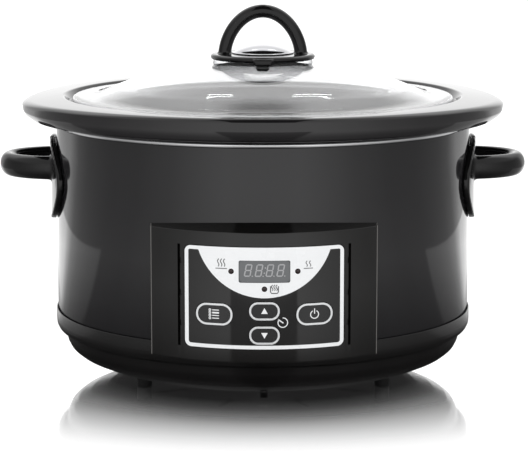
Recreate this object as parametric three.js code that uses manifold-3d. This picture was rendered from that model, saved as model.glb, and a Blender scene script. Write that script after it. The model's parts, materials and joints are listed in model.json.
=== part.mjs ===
// Round countertop slow cooker with a lift-out stoneware crock, a domed glass lid and a push-button panel.
// Millimetres, +Z up, +X to the right, front towards -Y. Origin on the floor under the centre of the base.
import * as THREE from 'three';
import { mergeVertices } from 'three/addons/utils/BufferGeometryUtils.js';
import Module from 'manifold-3d';

const wasm = await Module();
wasm.setup();

// ---- fits ----
const gap = 0.3; // between pieces that touch
const slideFit = 0.4; // round a moving key
const turns = 40; // facets round a large turned piece
const smallTurns = 16; // facets round a small turned piece
const faceTurns = 72; // facets round the full circle of the fascia's face

// ---- stoneware crock ----
const crockInnerRadius = 117.5;
const crockWall = 7;
const crockFloor = 7;
const crockBodyHeight = 121.8; // underneath to the seat of the rim
const rimHeight = 15.7;
const rimOverhang = 29.5; // rim beyond the crock's outer wall, front and back
const rimGrip = 14.6; // extra overhang of the two side grips
const gripDip = 4.5; // how far the side grips fall below the front of the rim
const lidLedgeDepth = 5;
const lidLedgeWidth = 18;
const lidClearance = 2; // round the lid, on the ledge

// ---- heating well and heater ----
const crockClearance = 3;
const crockFootGap = 1.5;
const wellWall = 1;
const bandThickness = 2.2;
const bandLow = 17; // heater band above the floor of the well
const bandHeight = 45;
const bandOpening = 6; // degrees left open for the tension spring
const strapLength = 44;
const strapWidth = 14;
const strapThickness = 1.2;

// ---- outer case ----
const airGap = 13.1; // heater band to the shell
const shellWall = 0.9;
const footHeight = 9.5;
const baseHeight = 39.2;
const bayHeight = 9.3; // well floor above the top of the base
const baseTuck = 42.2; // flat base plate inside the ring of the base
const baseWall = 2.5;
const seamRebate = 5; // how deep the shell stands in the base
const trimHeight = 3;
const trimLand = 1.6; // thickness of the ring's flat land

// ---- feet ----
const footRadius = 5.35;
const footMargin = 6.7; // middle of a foot inside the edge of the flat plate
const footPegRadius = 2.5;

// ---- side handles ----
const handleReach = 40; // beyond the shell
const handleSpan = 58; // between the middles of the two legs
const gripThickness = 12.4;
const gripHeight = 16.5;
const gripDrop = 31.9; // middle of the grip below the top of the trim ring
const plateDrop = 9.2; // middle of the oval plate below the grip
const plateWidth = 100;
const plateHeight = 59;
const plateThickness = 4.1;
const handleScrewRadius = 1.9;
const handleScrewHead = 3.4;

// ---- control fascia ----
const fasciaHalfWidth = 74.2;
const fasciaBulge = 13; // beyond the shell, on the centre line
const fasciaFaceRadius = 111;
const fasciaDrop = 8.7; // lower edge below the seam of the case
const fasciaHeight = 85.4; // of the front face
const ledgeFall = 4.8; // slope of the ledge above the face
const fasciaWall = 2.5;
const cavityWidth = 116; // behind the panel, and the opening in the shell
const fasciaScrewRadius = 1.5;
const slotWidth = 1.2;
const slotDepth = 1.2;
const slotMargin = 3.6; // slot beyond the edge of the overlay
const notchCount = 3;
const notchHeight = 3.6;
const notchPitch = 20.7;

// ---- panel ----
const overlayHalfWidth = 51.6;
const overlayHeight = 66.9;
const overlayMargin = 9.4; // above the lower edge of the fascia
const overlayThickness = 0.9;
const overlayCorner = 4;
const windowWidth = 32.6;
const windowHeight = 13.9;
const windowDrop = 15.9; // below the top of the overlay, as are the next five
const lampRadius = 1.6;
const lampReach = 21.4; // high and low lamps from the centre line
const warmLampDrop = 27.2;
const wideKeyWidth = 23.5;
const wideKeyHeight = 14.2;
const wideKeyReach = 32.3;
const wideKeyDrop = 44.3;
const arrowKeyWidth = 19.6;
const arrowKeyHeight = 11.8;
const upKeyDrop = 41.6;
const downKeyDrop = 57.5;
const keyProud = 1;
const keyTravel = 0.6;
const keyLip = 1.1;
const keyStemRadius = 1.75;
const switchSize = 6;
const switchDepth = 3.5;
const boardThickness = 1.6;
const boardInset = 19; // front of the bulge to the face of the control board

// ---- lid ----
const lidFlange = 14.5;
const glassThickness = 4;
const domeRadius = 300;
const knobPlateRadius = 37;
const knobPlateHeight = 3;
const gasketHeight = 1;
const archHalfWidth = 31.3; // outer half width of the arch
const archHeight = 34;
const archSection = 8.6;
const archDepth = 11;
const domeCapRadius = 21.4;
const domeCapHeight = 5.8;
const lidScrewRadius = 2.4;

// ---- power electronics ----
const bayFloorGap = 12; // power board above the base plate
const powerBoardWidth = 100;
const powerBoardLength = 60;
const powerBoardFront = -80;
const boltRadius = 2.5;
const boltHeadRadius = 5.5;
const boltHeadHeight = 3.6;
const sensorRadius = 11;
const sensorBack = 45; // sensor behind the centre
const leadRadius = 1.5;
const inletBore = 3.4;
const inletRise = 14.5; // above the base plate

// ---- radii and heights that follow ----
const crockRadius = crockInnerRadius + crockWall;
const wellInner = crockRadius + crockClearance;
const wellOuter = wellInner + wellWall;
const bandInner = wellOuter + gap;
const bandOuter = bandInner + bandThickness;
const shellInner = bandOuter + airGap;
const shellRadius = shellInner + shellWall;
const baseRadius = shellRadius + gap + 0.9;
const baseTop = footHeight + baseHeight;
const basePlateRadius = baseRadius - baseTuck;
const footCircle = basePlateRadius - footMargin;
const inletLevel = footHeight + inletRise;
const wellBottom = baseTop + bayHeight;
const wellFloorTop = wellBottom + wellWall;
const crockBottom = wellFloorTop + crockFootGap;
const crockFloorTop = crockBottom + crockFloor;
const rimSeat = crockBottom + crockBodyHeight;
const rimTop = rimSeat + rimHeight;
const rimRadius = crockRadius + rimOverhang;
const trimTop = rimSeat - 3 * gap;
const shellTop = trimTop - trimHeight - gap;
const shellBottom = baseTop - seamRebate + gap;
const gripLevel = trimTop - gripDrop;
const plateLevel = gripLevel - plateDrop;
const fasciaLow = baseTop - fasciaDrop;
const fasciaHigh = fasciaLow + fasciaHeight;
const fasciaTop = fasciaHigh + ledgeFall;
const overlayLow = fasciaLow + overlayMargin;
const overlayHigh = overlayLow + overlayHeight;
const windowLevel = overlayHigh - windowDrop;
const basePlateTop = footHeight + baseWall;
const fasciaFace = shellRadius + fasciaBulge; // furthest point forward
const faceCentre = fasciaFaceRadius - fasciaFace; // y of the face's centre of curvature
const faceInner = fasciaFaceRadius - fasciaWall;
const boardFace = -fasciaFace + boardInset;
const ledgeTop = rimTop - lidLedgeDepth;
const ledgeRadius = crockInnerRadius + lidLedgeWidth;
const lidRadius = ledgeRadius - lidClearance;
const lidBottom = ledgeTop + gap;
const flangeTop = lidBottom + glassThickness;
const domeEdge = lidRadius - lidFlange;
const domeTop = flangeTop + domeRadius - Math.sqrt(domeRadius ** 2 - domeEdge ** 2);
const knobPlateBottom = domeTop + gap + gasketHeight + gap;
const knobPlateTop = knobPlateBottom + knobPlateHeight;
const powerBoardBottom = basePlateTop + bayFloorGap;
const powerBoardTop = powerBoardBottom + boardThickness;
const bracketLevel = wellBottom - 9.5;

// ---- geometry helpers ----

// Keeps positions only, merges shared corners, drops collapsed faces and turns the faces outwards.
function welded(geometry) {
  const bare = geometry.clone();
  bare.deleteAttribute('normal');
  bare.deleteAttribute('uv');
  const merged = mergeVertices(bare, 1e-4);
  const index = merged.index.array;
  const position = merged.attributes.position;
  const corner = [new THREE.Vector3(), new THREE.Vector3(), new THREE.Vector3()];
  const kept = [];
  let volume = 0;
  for (let i = 0; i < index.length; i += 3) {
    const [a, b, c] = [index[i], index[i + 1], index[i + 2]];
    if (a === b || b === c || a === c) continue;
    kept.push(a, b, c);
    corner.forEach((point, k) => point.fromBufferAttribute(position, index[i + k]));
    volume += corner[0].dot(corner[1].cross(corner[2]));
  }
  if (volume < 0) kept.reverse();
  merged.setIndex(kept);
  return merged;
}

function solid(geometry) {
  const body = welded(geometry);
  return new wasm.Manifold(new wasm.Mesh({
    numProp: 3,
    vertProperties: new Float32Array(body.attributes.position.array),
    triVerts: new Uint32Array(body.index.array),
  }));
}

function geometryOf(manifold) {
  const mesh = manifold.getMesh();
  const geometry = new THREE.BufferGeometry();
  geometry.setAttribute('position', new THREE.BufferAttribute(mesh.vertProperties, 3));
  geometry.setIndex(new THREE.BufferAttribute(mesh.triVerts, 1));
  return geometry;
}

function joined(first, ...others) {
  return others.reduce((whole, other) => whole.add(other), first);
}

function cutBy(first, ...others) {
  return others.reduce((whole, other) => whole.subtract(other), first);
}

// Turned about Z from [radius, height] points; the outline starts and ends on the axis or closes on itself.
function turned(outline, facets = turns) {
  const points = outline.map(([radius, height]) => new THREE.Vector2(radius, height));
  return welded(new THREE.LatheGeometry(points, facets)).rotateX(Math.PI / 2);
}

function turnedRing(outline, facets = turns) {
  return turned([...outline, outline[0]], facets);
}

function upright(radius, low, high, x = 0, y = 0, facets = smallTurns) {
  return turned([[0, low], [radius, low], [radius, high], [0, high]], facets).translate(x, y, 0);
}

function block(width, depth, height, x, y, z) {
  return new THREE.BoxGeometry(width, depth, height).translate(x, y, z);
}

// Circular arc as [radius, height] points, angles in degrees.
function arcPoints(centreR, centreZ, radius, from, to, steps) {
  return Array.from({ length: steps + 1 }, (_, i) => {
    const angle = THREE.MathUtils.degToRad(from + ((to - from) * i) / steps);
    return [centreR + radius * Math.cos(angle), centreZ + radius * Math.sin(angle)];
  });
}

function roundedOutline(width, height, corner, facets = 4) {
  const shape = new THREE.Shape();
  const centres = [[1, 1, 0], [-1, 1, 90], [-1, -1, 180], [1, -1, 270]];
  const points = centres.flatMap(([sx, sy, start]) => arcPoints(
    sx * (width / 2 - corner), sy * (height / 2 - corner), corner, start, start + 90, facets));
  points.forEach(([x, y], i) => (i ? shape.lineTo(x, y) : shape.moveTo(x, y)));
  shape.closePath();
  return shape;
}

// A prism along Y from an outline in X and Z, between two distances in front of the centre.
function forwardPrism(shape, x, z, nearer, further) {
  const depth = further - nearer;
  const prism = new THREE.ExtrudeGeometry(shape, { depth, bevelEnabled: false, curveSegments: 8 });
  return prism.rotateX(Math.PI / 2).translate(x, -nearer, z);
}

// A band that follows the curve of the fascia's face, between two radii and two heights.
function faceBand(inner, outer, halfWidth, low, high) {
  const steps = 14;
  const reach = Math.asin(Math.min(0.999, halfWidth / inner));
  const point = (radius, i) => {
    const angle = reach * ((2 * i) / steps - 1);
    return new THREE.Vector2(radius * Math.sin(angle), faceCentre - radius * Math.cos(angle));
  };
  const count = Array.from({ length: steps + 1 }, (_, i) => i);
  const outline = [...count.map((i) => point(outer, i)), ...count.reverse().map((i) => point(inner, i))];
  const settings = { depth: high - low, bevelEnabled: false };
  return solid(new THREE.ExtrudeGeometry(new THREE.Shape(outline), settings).translate(0, 0, low));
}

function faceDistance(x) {
  return -faceCentre + Math.sqrt(fasciaFaceRadius ** 2 - x ** 2);
}

function tubeAlong(points, radius, sides, steps) {
  const path = new THREE.CatmullRomCurve3(points.map((point) => new THREE.Vector3(...point)));
  const section = new THREE.Shape();
  section.absarc(0, 0, radius, 0, 2 * Math.PI);
  const settings = { steps, extrudePath: path, bevelEnabled: false, curveSegments: sides / 2 };
  return new THREE.ExtrudeGeometry(section, settings);
}

// ---- outer case ----

function shellBody() {
  const wall = turnedRing([
    [shellInner, shellBottom], [shellRadius, shellBottom], [shellRadius, shellTop], [shellInner, shellTop],
  ]);
  const openingHeight = overlayHigh - overlayLow - 6;
  const panelOpening = block(cavityWidth, 60, openingHeight, 0, -shellRadius, (overlayLow + overlayHigh) / 2);
  const handleHoles = handleScrewPlaces().map(([side, y]) => solid(
    forwardRod(handleScrewRadius + gap, shellRadius * 0.8, shellRadius * 1.1).rotateZ(side * Math.PI / 2)
      .translate(0, y, gripLevel)));
  const fasciaHoles = fasciaScrewPlaces().map(([angle, z]) => solid(
    forwardRod(fasciaScrewRadius + gap, shellInner - 5, shellRadius + 5).rotateZ(angle)
      .translate(0, 0, z)));
  return geometryOf(cutBy(solid(wall), solid(panelOpening), ...handleHoles, ...fasciaHoles));
}

// A rod pointing forwards along -Y between two distances from the centre.
function forwardRod(radius, nearer, further, facets = 12) {
  return upright(radius, nearer, further, 0, 0, facets).rotateX(Math.PI / 2);
}

function trimRing() {
  const outer = shellRadius + 1.7;
  const landInner = shellInner - 2.6;
  const bottom = trimTop - trimHeight;
  return turnedRing([
    [landInner, trimTop - trimLand], [shellInner - gap, trimTop - trimLand], [shellInner - gap, bottom],
    [outer - 0.9, bottom], [outer - 0.2, bottom + 0.5], [outer, bottom + 1.5], [outer - 0.2, trimTop - 0.5],
    [outer - 0.9, trimTop], [landInner, trimTop],
  ]);
}

function heatingWell() {
  const lipTop = trimTop - trimLand - gap;
  const lipOuter = shellInner - 2 * gap - 0.5;
  const corner = 10;
  const outerCorner = arcPoints(wellOuter - corner, wellBottom + corner, corner, -90, 0, 3);
  const innerCorner = arcPoints(wellInner - corner, wellFloorTop + corner, corner, 0, -90, 3);
  const body = turned([
    [0, wellBottom], ...outerCorner, [wellOuter, lipTop - wellWall], [lipOuter, lipTop - wellWall],
    [lipOuter, lipTop], [wellInner, lipTop], ...innerCorner, [0, wellFloorTop],
  ]);
  const sensorHole = upright(sensorRadius + 1, wellBottom - 5, wellFloorTop + 5, 0, sensorBack);
  return geometryOf(cutBy(solid(body), solid(sensorHole)));
}

// Hat-shaped strap under the well that the tie bolt pulls on.
function wellBracket() {
  const top = wellBottom - gap;
  const foot = 14;
  const half = 24;
  const sheet = 1.5;
  const outline = [
    [-half - foot, top - sheet], [-half - sheet, top - sheet], [-half - sheet, bracketLevel],
    [half + sheet, bracketLevel], [half + sheet, top - sheet], [half + foot, top - sheet],
    [half + foot, top], [half, top],
    [half, bracketLevel + sheet], [-half, bracketLevel + sheet], [-half, top], [-half - foot, top],
  ];
  const shape = new THREE.Shape(outline.map(([x, z]) => new THREE.Vector2(x, z)));
  const strap = forwardPrism(shape, 0, 0, -11, 11);
  const hole = upright(boltRadius + gap, bracketLevel - 5, bracketLevel + 5);
  return geometryOf(cutBy(solid(strap), solid(hole)));
}

function tieBolt() {
  const headBottom = footHeight + 1;
  const shoulder = headBottom + boltHeadHeight;
  const tip = bracketLevel + 7.5;
  return turned([
    [0, headBottom], [boltHeadRadius, headBottom], [boltHeadRadius, shoulder - 1],
    [boltHeadRadius - 1, shoulder], [boltRadius, shoulder], [boltRadius, tip - 0.6],
    [boltRadius - 0.6, tip], [0, tip],
  ], smallTurns);
}

function tieNut() {
  const bottom = bracketLevel + 1.5 + gap;
  const nut = turned([[0, bottom], [4.8, bottom], [4.8, bottom + 4], [0, bottom + 4]], 6);
  return geometryOf(cutBy(solid(nut), solid(upright(boltRadius + gap, bottom - 1, bottom + 5))));
}

// The outside of the base from the plate outwards and up to the seam; the inside is one wall further in.
function baseOutline() {
  const ring = baseRadius;
  return [
    [basePlateRadius, footHeight], [basePlateRadius + 6, footHeight + 0.8], [ring - 24, footHeight + 4.5],
    [ring - 15, footHeight + 8.5], [ring - 10, footHeight + 12.5], [ring - 7.5, footHeight + 17.5],
    [ring - 6.9, footHeight + 23.5], [ring - 4.2, footHeight + 24.5], [ring - 1.4, footHeight + 26.3],
    [ring - 0.2, footHeight + 29], [ring, footHeight + 31.5], [ring, baseTop],
  ];
}

function baseHousing() {
  const rebateRadius = shellRadius + gap;
  const rebateFloor = baseTop - seamRebate;
  const wall = baseWall;
  const inside = [
    [rebateRadius, baseTop], [rebateRadius, rebateFloor], [rebateRadius - wall, rebateFloor],
    [rebateRadius - wall, footHeight + 31], [baseRadius - 6, footHeight + 28],
    [baseRadius - 9.7, footHeight + 26], [baseRadius - 10.2, footHeight + 18],
    [baseRadius - 12.6, footHeight + 14], [baseRadius - 17, footHeight + 10.8],
    [baseRadius - 25, footHeight + 7], [basePlateRadius + 5.5, footHeight + 3.3],
    [basePlateRadius - 0.4, basePlateTop],
  ];
  const dish = solid(turned([[0, footHeight], ...baseOutline(), ...inside, [0, basePlateTop]]));
  const sink = basePlateTop - 0.5;
  const boss = upright(9, sink, footHeight + 9);
  const sensorPost = upright(9, sink, footHeight + 24, 0, sensorBack);
  const posts = boardPostPlaces().map(([x, y]) => solid(
    upright(3.2, sink, powerBoardBottom - gap, x, y, 12)));
  const inletPad = block(22, 14, 15, 0, baseRadius - 13.5, inletLevel);
  const skirtRib = block(5, 12, footHeight - 3, 0, -footCircle, (footHeight + 4.5) / 2);
  const whole = joined(dish, solid(boss), solid(sensorPost), ...posts, solid(inletPad), solid(skirtRib));
  const headPocket = upright(boltHeadRadius + 1, footHeight - 5, footHeight + 1 + boltHeadHeight + gap);
  const boltHole = upright(boltRadius + gap, footHeight, footHeight + 12);
  const footHoles = footPlaces().map(([x, y]) => solid(
    upright(footPegRadius + gap, footHeight - 2, basePlateTop + 3, x, y, 12)));
  const screwHoles = boardScrewPlaces().map(([x, y]) => solid(
    upright(1.5, basePlateTop + 2, powerBoardBottom + 2, x, y, 10)));
  const inletHole = forwardRod(5 + gap, -baseRadius - 5, -baseRadius + 30, 16).translate(0, 0, inletLevel);
  return geometryOf(cutBy(whole, solid(headPocket), solid(boltHole), ...footHoles, ...screwHoles,
    solid(inletHole), ...ventSlots()));
}

// Radial cooling slots through the base plate.
function ventSlots() {
  const count = 8;
  const shape = roundedOutline(22, 4, 1.9, 1);
  return Array.from({ length: count }, (_, i) => {
    const slot = new THREE.ExtrudeGeometry(shape, { depth: 10, bevelEnabled: false });
    slot.translate(basePlateRadius * 0.66, 0, footHeight - 5);
    return solid(slot.rotateZ(((i + 0.5) * 2 * Math.PI) / count));
  });
}

function footPlaces() {
  return [-147.7, -32.3, 90].map((degrees) => {
    const angle = THREE.MathUtils.degToRad(degrees);
    return [footCircle * Math.cos(angle), footCircle * Math.sin(angle)];
  });
}

function rubberFoot() {
  const top = footHeight - gap;
  const pegTop = basePlateTop + 2;
  return turned([
    [0, 0], [footRadius - 0.8, 0], [footRadius, 0.8], [footRadius, top], [footPegRadius, top],
    [footPegRadius, pegTop - 0.6], [footPegRadius - 0.6, pegTop], [0, pegTop],
  ], smallTurns);
}

// Bushing in the base's rear wall that a power cord would pass through.
function cordGland() {
  const seat = baseRadius - 6.5 + gap;
  return turnedRing([
    [inletBore, seat - 16], [4.4, seat - 16], [5, seat - 13], [5, seat], [8, seat], [8, seat + 1.6],
    [7, seat + 2.6], [5.4, seat + 3], [4.6, seat + 8], [inletBore, seat + 8],
  ], smallTurns).rotateX(-Math.PI / 2).translate(0, 0, inletLevel);
}

// ---- side handles ----

function handleScrewPlaces() {
  return [-1, 1].flatMap((side) => [-1, 1].map((end) => [side, (end * handleSpan) / 2]));
}

// Half of a rounded loop, level with the grip and open towards the shell.
class GripCurve extends THREE.Curve {
  getPoint(t, target = new THREE.Vector3()) {
    const angle = (t - 0.5) * Math.PI;
    const power = 0.8;
    const start = shellRadius - 6;
    const reach = shellRadius + handleReach - gripThickness / 2 - start;
    const along = start + reach * Math.max(0, Math.cos(angle)) ** power;
    const across = (handleSpan / 2) * Math.sign(Math.sin(angle)) * Math.abs(Math.sin(angle)) ** power;
    return target.set(along, across, gripLevel);
  }
}

function handleBody(side) {
  const section = roundedOutline(gripHeight, gripThickness, gripThickness * 0.46, 2);
  const settings = { steps: 16, extrudePath: new GripCurve(), bevelEnabled: false };
  const grip = new THREE.ExtrudeGeometry(section, settings);
  const inner = shellRadius + gap;
  const outer = inner + plateThickness;
  const low = plateLevel - plateHeight;
  const high = plateLevel + plateHeight;
  const wrap = turnedRing([[inner, low], [outer, low], [outer, high], [inner, high]]);
  const oval = new THREE.CylinderGeometry(1, 1, 60, 28).scale(plateWidth / 2, 1, plateHeight / 2);
  oval.rotateZ(Math.PI / 2).translate(shellRadius, 0, plateLevel);
  const plate = solid(wrap).intersect(solid(oval));
  const clear = upright(inner, low, high, 0, 0, turns);
  const holes = [-1, 1].map((end) => solid(
    forwardRod(handleScrewRadius + gap, shellRadius * 0.8, shellRadius + 13).rotateZ(Math.PI / 2)
      .translate(0, (end * handleSpan) / 2, gripLevel)));
  const body = geometryOf(cutBy(joined(plate, solid(grip)), solid(clear), ...holes));
  return side > 0 ? body : body.rotateZ(Math.PI);
}

function handleScrew() {
  const flats = shellInner * Math.cos(Math.PI / turns);
  const seat = Math.sqrt(flats ** 2 - (handleSpan / 2 + handleScrewHead) ** 2) - gap;
  return turned([
    [0, seat - 2.6], [handleScrewHead - 0.8, seat - 2.6], [handleScrewHead, seat - 1.6],
    [handleScrewHead, seat], [handleScrewRadius, seat], [handleScrewRadius, shellRadius + 10],
    [0, shellRadius + 12],
  ], 12).rotateX(Math.PI / 2);
}

// ---- control fascia ----

function fasciaScrewPlaces() {
  const angle = Math.asin((fasciaHalfWidth - 8.2) / shellRadius);
  return [-1, 1].flatMap((side) => [overlayLow + 11, overlayHigh - 4].map((z) => [side * angle, z]));
}

function keys() {
  const wideKeyLevel = overlayHigh - wideKeyDrop;
  return [
    { name: 'mode', x: -wideKeyReach, z: wideKeyLevel, width: wideKeyWidth, height: wideKeyHeight },
    { name: 'up', x: 0, z: overlayHigh - upKeyDrop, width: arrowKeyWidth, height: arrowKeyHeight },
    { name: 'down', x: 0, z: overlayHigh - downKeyDrop, width: arrowKeyWidth, height: arrowKeyHeight },
    { name: 'power', x: wideKeyReach, z: wideKeyLevel, width: wideKeyWidth, height: wideKeyHeight },
  ];
}

function lamps() {
  return [
    { name: 'high', x: -lampReach, z: windowLevel },
    { name: 'low', x: lampReach, z: windowLevel },
    { name: 'warm', x: 0, z: overlayHigh - warmLampDrop },
  ];
}

function stadium(width, height) {
  return roundedOutline(width, height, height * 0.48, 3);
}

// Openings for the keys, the window and the lamps, cut straight through along Y.
function panelCuts() {
  const far = fasciaFace + 20;
  const near = fasciaFace - 40;
  const keyCuts = keys().map(({ x, z, width, height }) => solid(
    forwardPrism(stadium(width + 2 * slideFit, height + 2 * slideFit), x, z, near, far)));
  const pane = roundedOutline(windowWidth + 2 * gap, windowHeight + 2 * gap, 1, 2);
  const lampCuts = lamps().map(({ x, z }) => solid(
    forwardRod(lampRadius + gap, near, far, 14).translate(x, 0, z)));
  return [...keyCuts, solid(forwardPrism(pane, 0, windowLevel, near, far)), ...lampCuts];
}

// Everything behind the fascia: the shell above the seam and the ring of the base below it.
function caseEnvelope() {
  const bandOut = baseRadius + gap;
  return solid(turned([
    [0, fasciaLow - 20], [bandOut, fasciaLow - 20], [bandOut, baseTop + gap],
    [shellRadius + gap, baseTop + gap], [shellRadius + gap, fasciaTop + 20], [0, fasciaTop + 20],
  ]));
}

function controlFascia() {
  const back = shellRadius * 0.6;
  const cavityLow = baseTop + 1.3;
  const sides = solid(block(2 * fasciaHalfWidth, fasciaFace + 5 - back, fasciaTop - fasciaLow,
    0, -(fasciaFace + 5 + back) / 2, (fasciaTop + fasciaLow) / 2));
  const fullFace = solid(turned([
    [0, fasciaLow], [fasciaFaceRadius, fasciaLow], [fasciaFaceRadius, fasciaTop], [0, fasciaTop],
  ], faceTurns).translate(0, faceCentre, 0));
  const bulge = fullFace.intersect(sides);
  const slope = ledgeFall / fasciaBulge;
  const ledge = solid(turnedRing([
    [fasciaFaceRadius - 40, fasciaHigh + 40 * slope], [fasciaFaceRadius + 5, fasciaHigh - 5 * slope],
    [fasciaFaceRadius + 5, fasciaTop + 30], [fasciaFaceRadius - 40, fasciaTop + 30],
  ], faceTurns).translate(0, faceCentre, 0));
  const cavity = solid(turned([
    [0, cavityLow], [faceInner, cavityLow], [faceInner, overlayHigh + 2], [0, overlayHigh + 2],
  ], faceTurns).translate(0, faceCentre, 0)).intersect(
    solid(block(cavityWidth, 2 * fasciaFace, 2 * fasciaFace, 0, -fasciaFace, 0)));
  const pocket = overlaySlab(fasciaFaceRadius - overlayThickness, fasciaFaceRadius + 5, gap);
  const holes = fasciaScrewPlaces().map(([angle, z]) => solid(
    forwardRod(fasciaScrewRadius + 0.1, shellRadius - 5, shellRadius + 4.8).rotateZ(angle)
      .translate(0, 0, z)));
  const hollow = cutBy(bulge, caseEnvelope(), ledge, cavity, pocket);
  return geometryOf(cutBy(hollow, ...panelCuts(), ...sideSlots(), ...holes));
}

// A narrow upright groove on each side of the overlay, with short wider notches along it.
function sideSlots() {
  const reach = overlayHalfWidth + slotMargin;
  const distance = faceDistance(reach) - slotDepth;
  const height = overlayHigh - overlayLow;
  const middle = (overlayHigh + overlayLow) / 2;
  return [-1, 1].flatMap((side) => {
    const groove = block(slotWidth, 12, height, side * reach, -distance - 6, middle);
    const notches = Array.from({ length: notchCount }, (_, i) => {
      const level = middle + (i - (notchCount - 1) / 2) * notchPitch;
      return solid(block(2 * slotWidth, 12, notchHeight, side * reach, -distance - 6, level));
    });
    return [solid(groove), ...notches];
  });
}

function overlaySlab(inner, outer, margin) {
  const low = overlayLow - margin;
  const high = overlayHigh + margin;
  const shape = roundedOutline(2 * (overlayHalfWidth + margin), high - low, overlayCorner + margin, 4);
  const prism = solid(forwardPrism(shape, 0, (low + high) / 2, fasciaFace - 60, fasciaFace + 20));
  return faceBand(inner, outer, overlayHalfWidth + margin + 3, low - 1, high + 1).intersect(prism);
}

function panelOverlay() {
  const inner = fasciaFaceRadius - overlayThickness + gap;
  return geometryOf(cutBy(overlaySlab(inner, inner + overlayThickness, 0), ...panelCuts()));
}

function displayWindow() {
  const outline = roundedOutline(windowWidth, windowHeight, 1, 2);
  const pane = solid(forwardPrism(outline, 0, windowLevel, fasciaFace - 20, fasciaFace + 10));
  const low = windowLevel - windowHeight;
  const high = windowLevel + windowHeight;
  const slab = faceBand(faceInner + gap, fasciaFaceRadius + 0.1, windowWidth, low, high);
  return geometryOf(slab.intersect(pane));
}

function displayModule() {
  const depth = faceDistance(windowWidth / 2) - fasciaWall - 1 + boardFace - gap;
  return block(windowWidth + 1, depth, windowHeight + 1, 0, boardFace - gap - depth / 2, windowLevel);
}

function lampLens({ x, z }) {
  const tip = faceDistance(x) + 0.4;
  const flangeAt = faceDistance(x) - fasciaWall - 1.4;
  const back = -boardFace + gap;
  return turned([
    [0, back], [lampRadius + 0.6, back], [lampRadius + 0.6, flangeAt], [lampRadius, flangeAt],
    [lampRadius, tip - 0.7], [lampRadius * 0.6, tip - 0.1], [0, tip],
  ], 10).rotateX(Math.PI / 2).translate(x, 0, z);
}

function controlBoard() {
  const height = overlayHigh - overlayLow - 8;
  return block(88, boardThickness, height, 0, boardFace + boardThickness / 2, (overlayHigh + overlayLow) / 2);
}

function keyBody({ x, z, width, height }) {
  const face = solid(turned([
    [0, z - 30], [fasciaFaceRadius + keyProud, z - 30], [fasciaFaceRadius + keyProud, z + 30], [0, z + 30],
  ], faceTurns).translate(0, faceCentre, 0));
  const inner = faceInner - gap;
  const nearest = -faceCentre + Math.sqrt(inner ** 2 - (Math.abs(x) + width / 2 + keyLip) ** 2) - 1.4;
  const cap = solid(forwardPrism(stadium(width, height), x, z, nearest, fasciaFace + 20)).intersect(face);
  const lipFace = solid(turned([[0, z - 30], [inner, z - 30], [inner, z + 30], [0, z + 30]], faceTurns)
    .translate(0, faceCentre, 0));
  const lipShape = stadium(width + 2 * keyLip, height + 2 * keyLip);
  const lip = solid(forwardPrism(lipShape, x, z, nearest, fasciaFace)).intersect(lipFace);
  const stemEnd = -boardFace + gap + switchDepth - keyTravel;
  const stem = solid(forwardRod(keyStemRadius, stemEnd, nearest + 0.5, 12).translate(x, 0, z));
  return geometryOf(joined(cap, lip, stem));
}

function tactSwitch({ x, z }) {
  const back = boardFace - gap;
  const front = -back + switchDepth;
  const floor = front - 2 * keyTravel - gap;
  const well = forwardRod(keyStemRadius + slideFit, floor, front + 2).translate(x, 0, z);
  const body = block(switchSize, switchDepth, switchSize, x, back - switchDepth / 2, z);
  return geometryOf(cutBy(solid(body), solid(well)));
}

function fasciaScrew() {
  const head = shellInner - gap;
  return turned([
    [0, head - 2], [2.6, head - 2], [2.6, head - gap], [fasciaScrewRadius - 0.2, head - gap],
    [fasciaScrewRadius - 0.2, shellRadius + 4], [0, shellRadius + 4.4],
  ], 12).rotateX(Math.PI / 2);
}

// ---- heater and electronics ----

function heaterBand() {
  const low = wellFloorTop + bandLow;
  const high = low + bandHeight;
  const ring = turnedRing([[bandInner, low], [bandOuter, low], [bandOuter, high], [bandInner, high]]);
  const opening = 2 * bandOuter * Math.sin(THREE.MathUtils.degToRad(bandOpening) / 2);
  const parting = block(40, opening, bandHeight + 10, bandOuter, 0, (low + high) / 2);
  return geometryOf(cutBy(solid(ring), solid(parting)));
}

// Flat tension strap that bridges the open ends of the heater band.
function bandSpring() {
  const middle = wellFloorTop + bandLow + bandHeight / 2;
  const inner = bandOuter + gap;
  const outer = inner + strapThickness;
  const low = middle - strapWidth / 2;
  const high = middle + strapWidth / 2;
  const ring = turnedRing([[inner, low], [outer, low], [outer, high], [inner, high]]);
  return geometryOf(solid(ring).intersect(solid(block(40, strapLength, 40, inner, 0, middle))));
}

function temperatureSensor() {
  const bottom = wellBottom - 4;
  return upright(sensorRadius, bottom, crockBottom - gap, 0, sensorBack);
}

// Coil spring that presses the sensor up against the crock.
function sensorSpring() {
  const low = footHeight + 24 + gap + 0.7;
  const high = wellBottom - 4 - gap - 0.7;
  const coils = 3;
  const perCoil = 10;
  const count = coils * perCoil;
  const points = Array.from({ length: count + 1 }, (_, i) => {
    const angle = (i / perCoil) * 2 * Math.PI;
    return [7 * Math.cos(angle), sensorBack + 7 * Math.sin(angle), low + ((high - low) * i) / count];
  });
  return tubeAlong(points, 0.6, 6, count);
}

function thermalFuse() {
  const low = wellFloorTop + bandLow + bandHeight + 8;
  return upright(2.2, low, low + 22, 0, wellOuter + gap + 2.2, 12);
}

function boardPostPlaces() {
  const x = powerBoardWidth / 2 - 7;
  const rows = [powerBoardFront + 7, powerBoardFront + powerBoardLength - 7];
  return [-1, 1].flatMap((side) => rows.map((y) => [side * x, y]));
}

function boardScrewPlaces() {
  return boardPostPlaces().filter(([x, y]) => (x > 0) === (y > powerBoardFront + powerBoardLength / 2));
}

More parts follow.
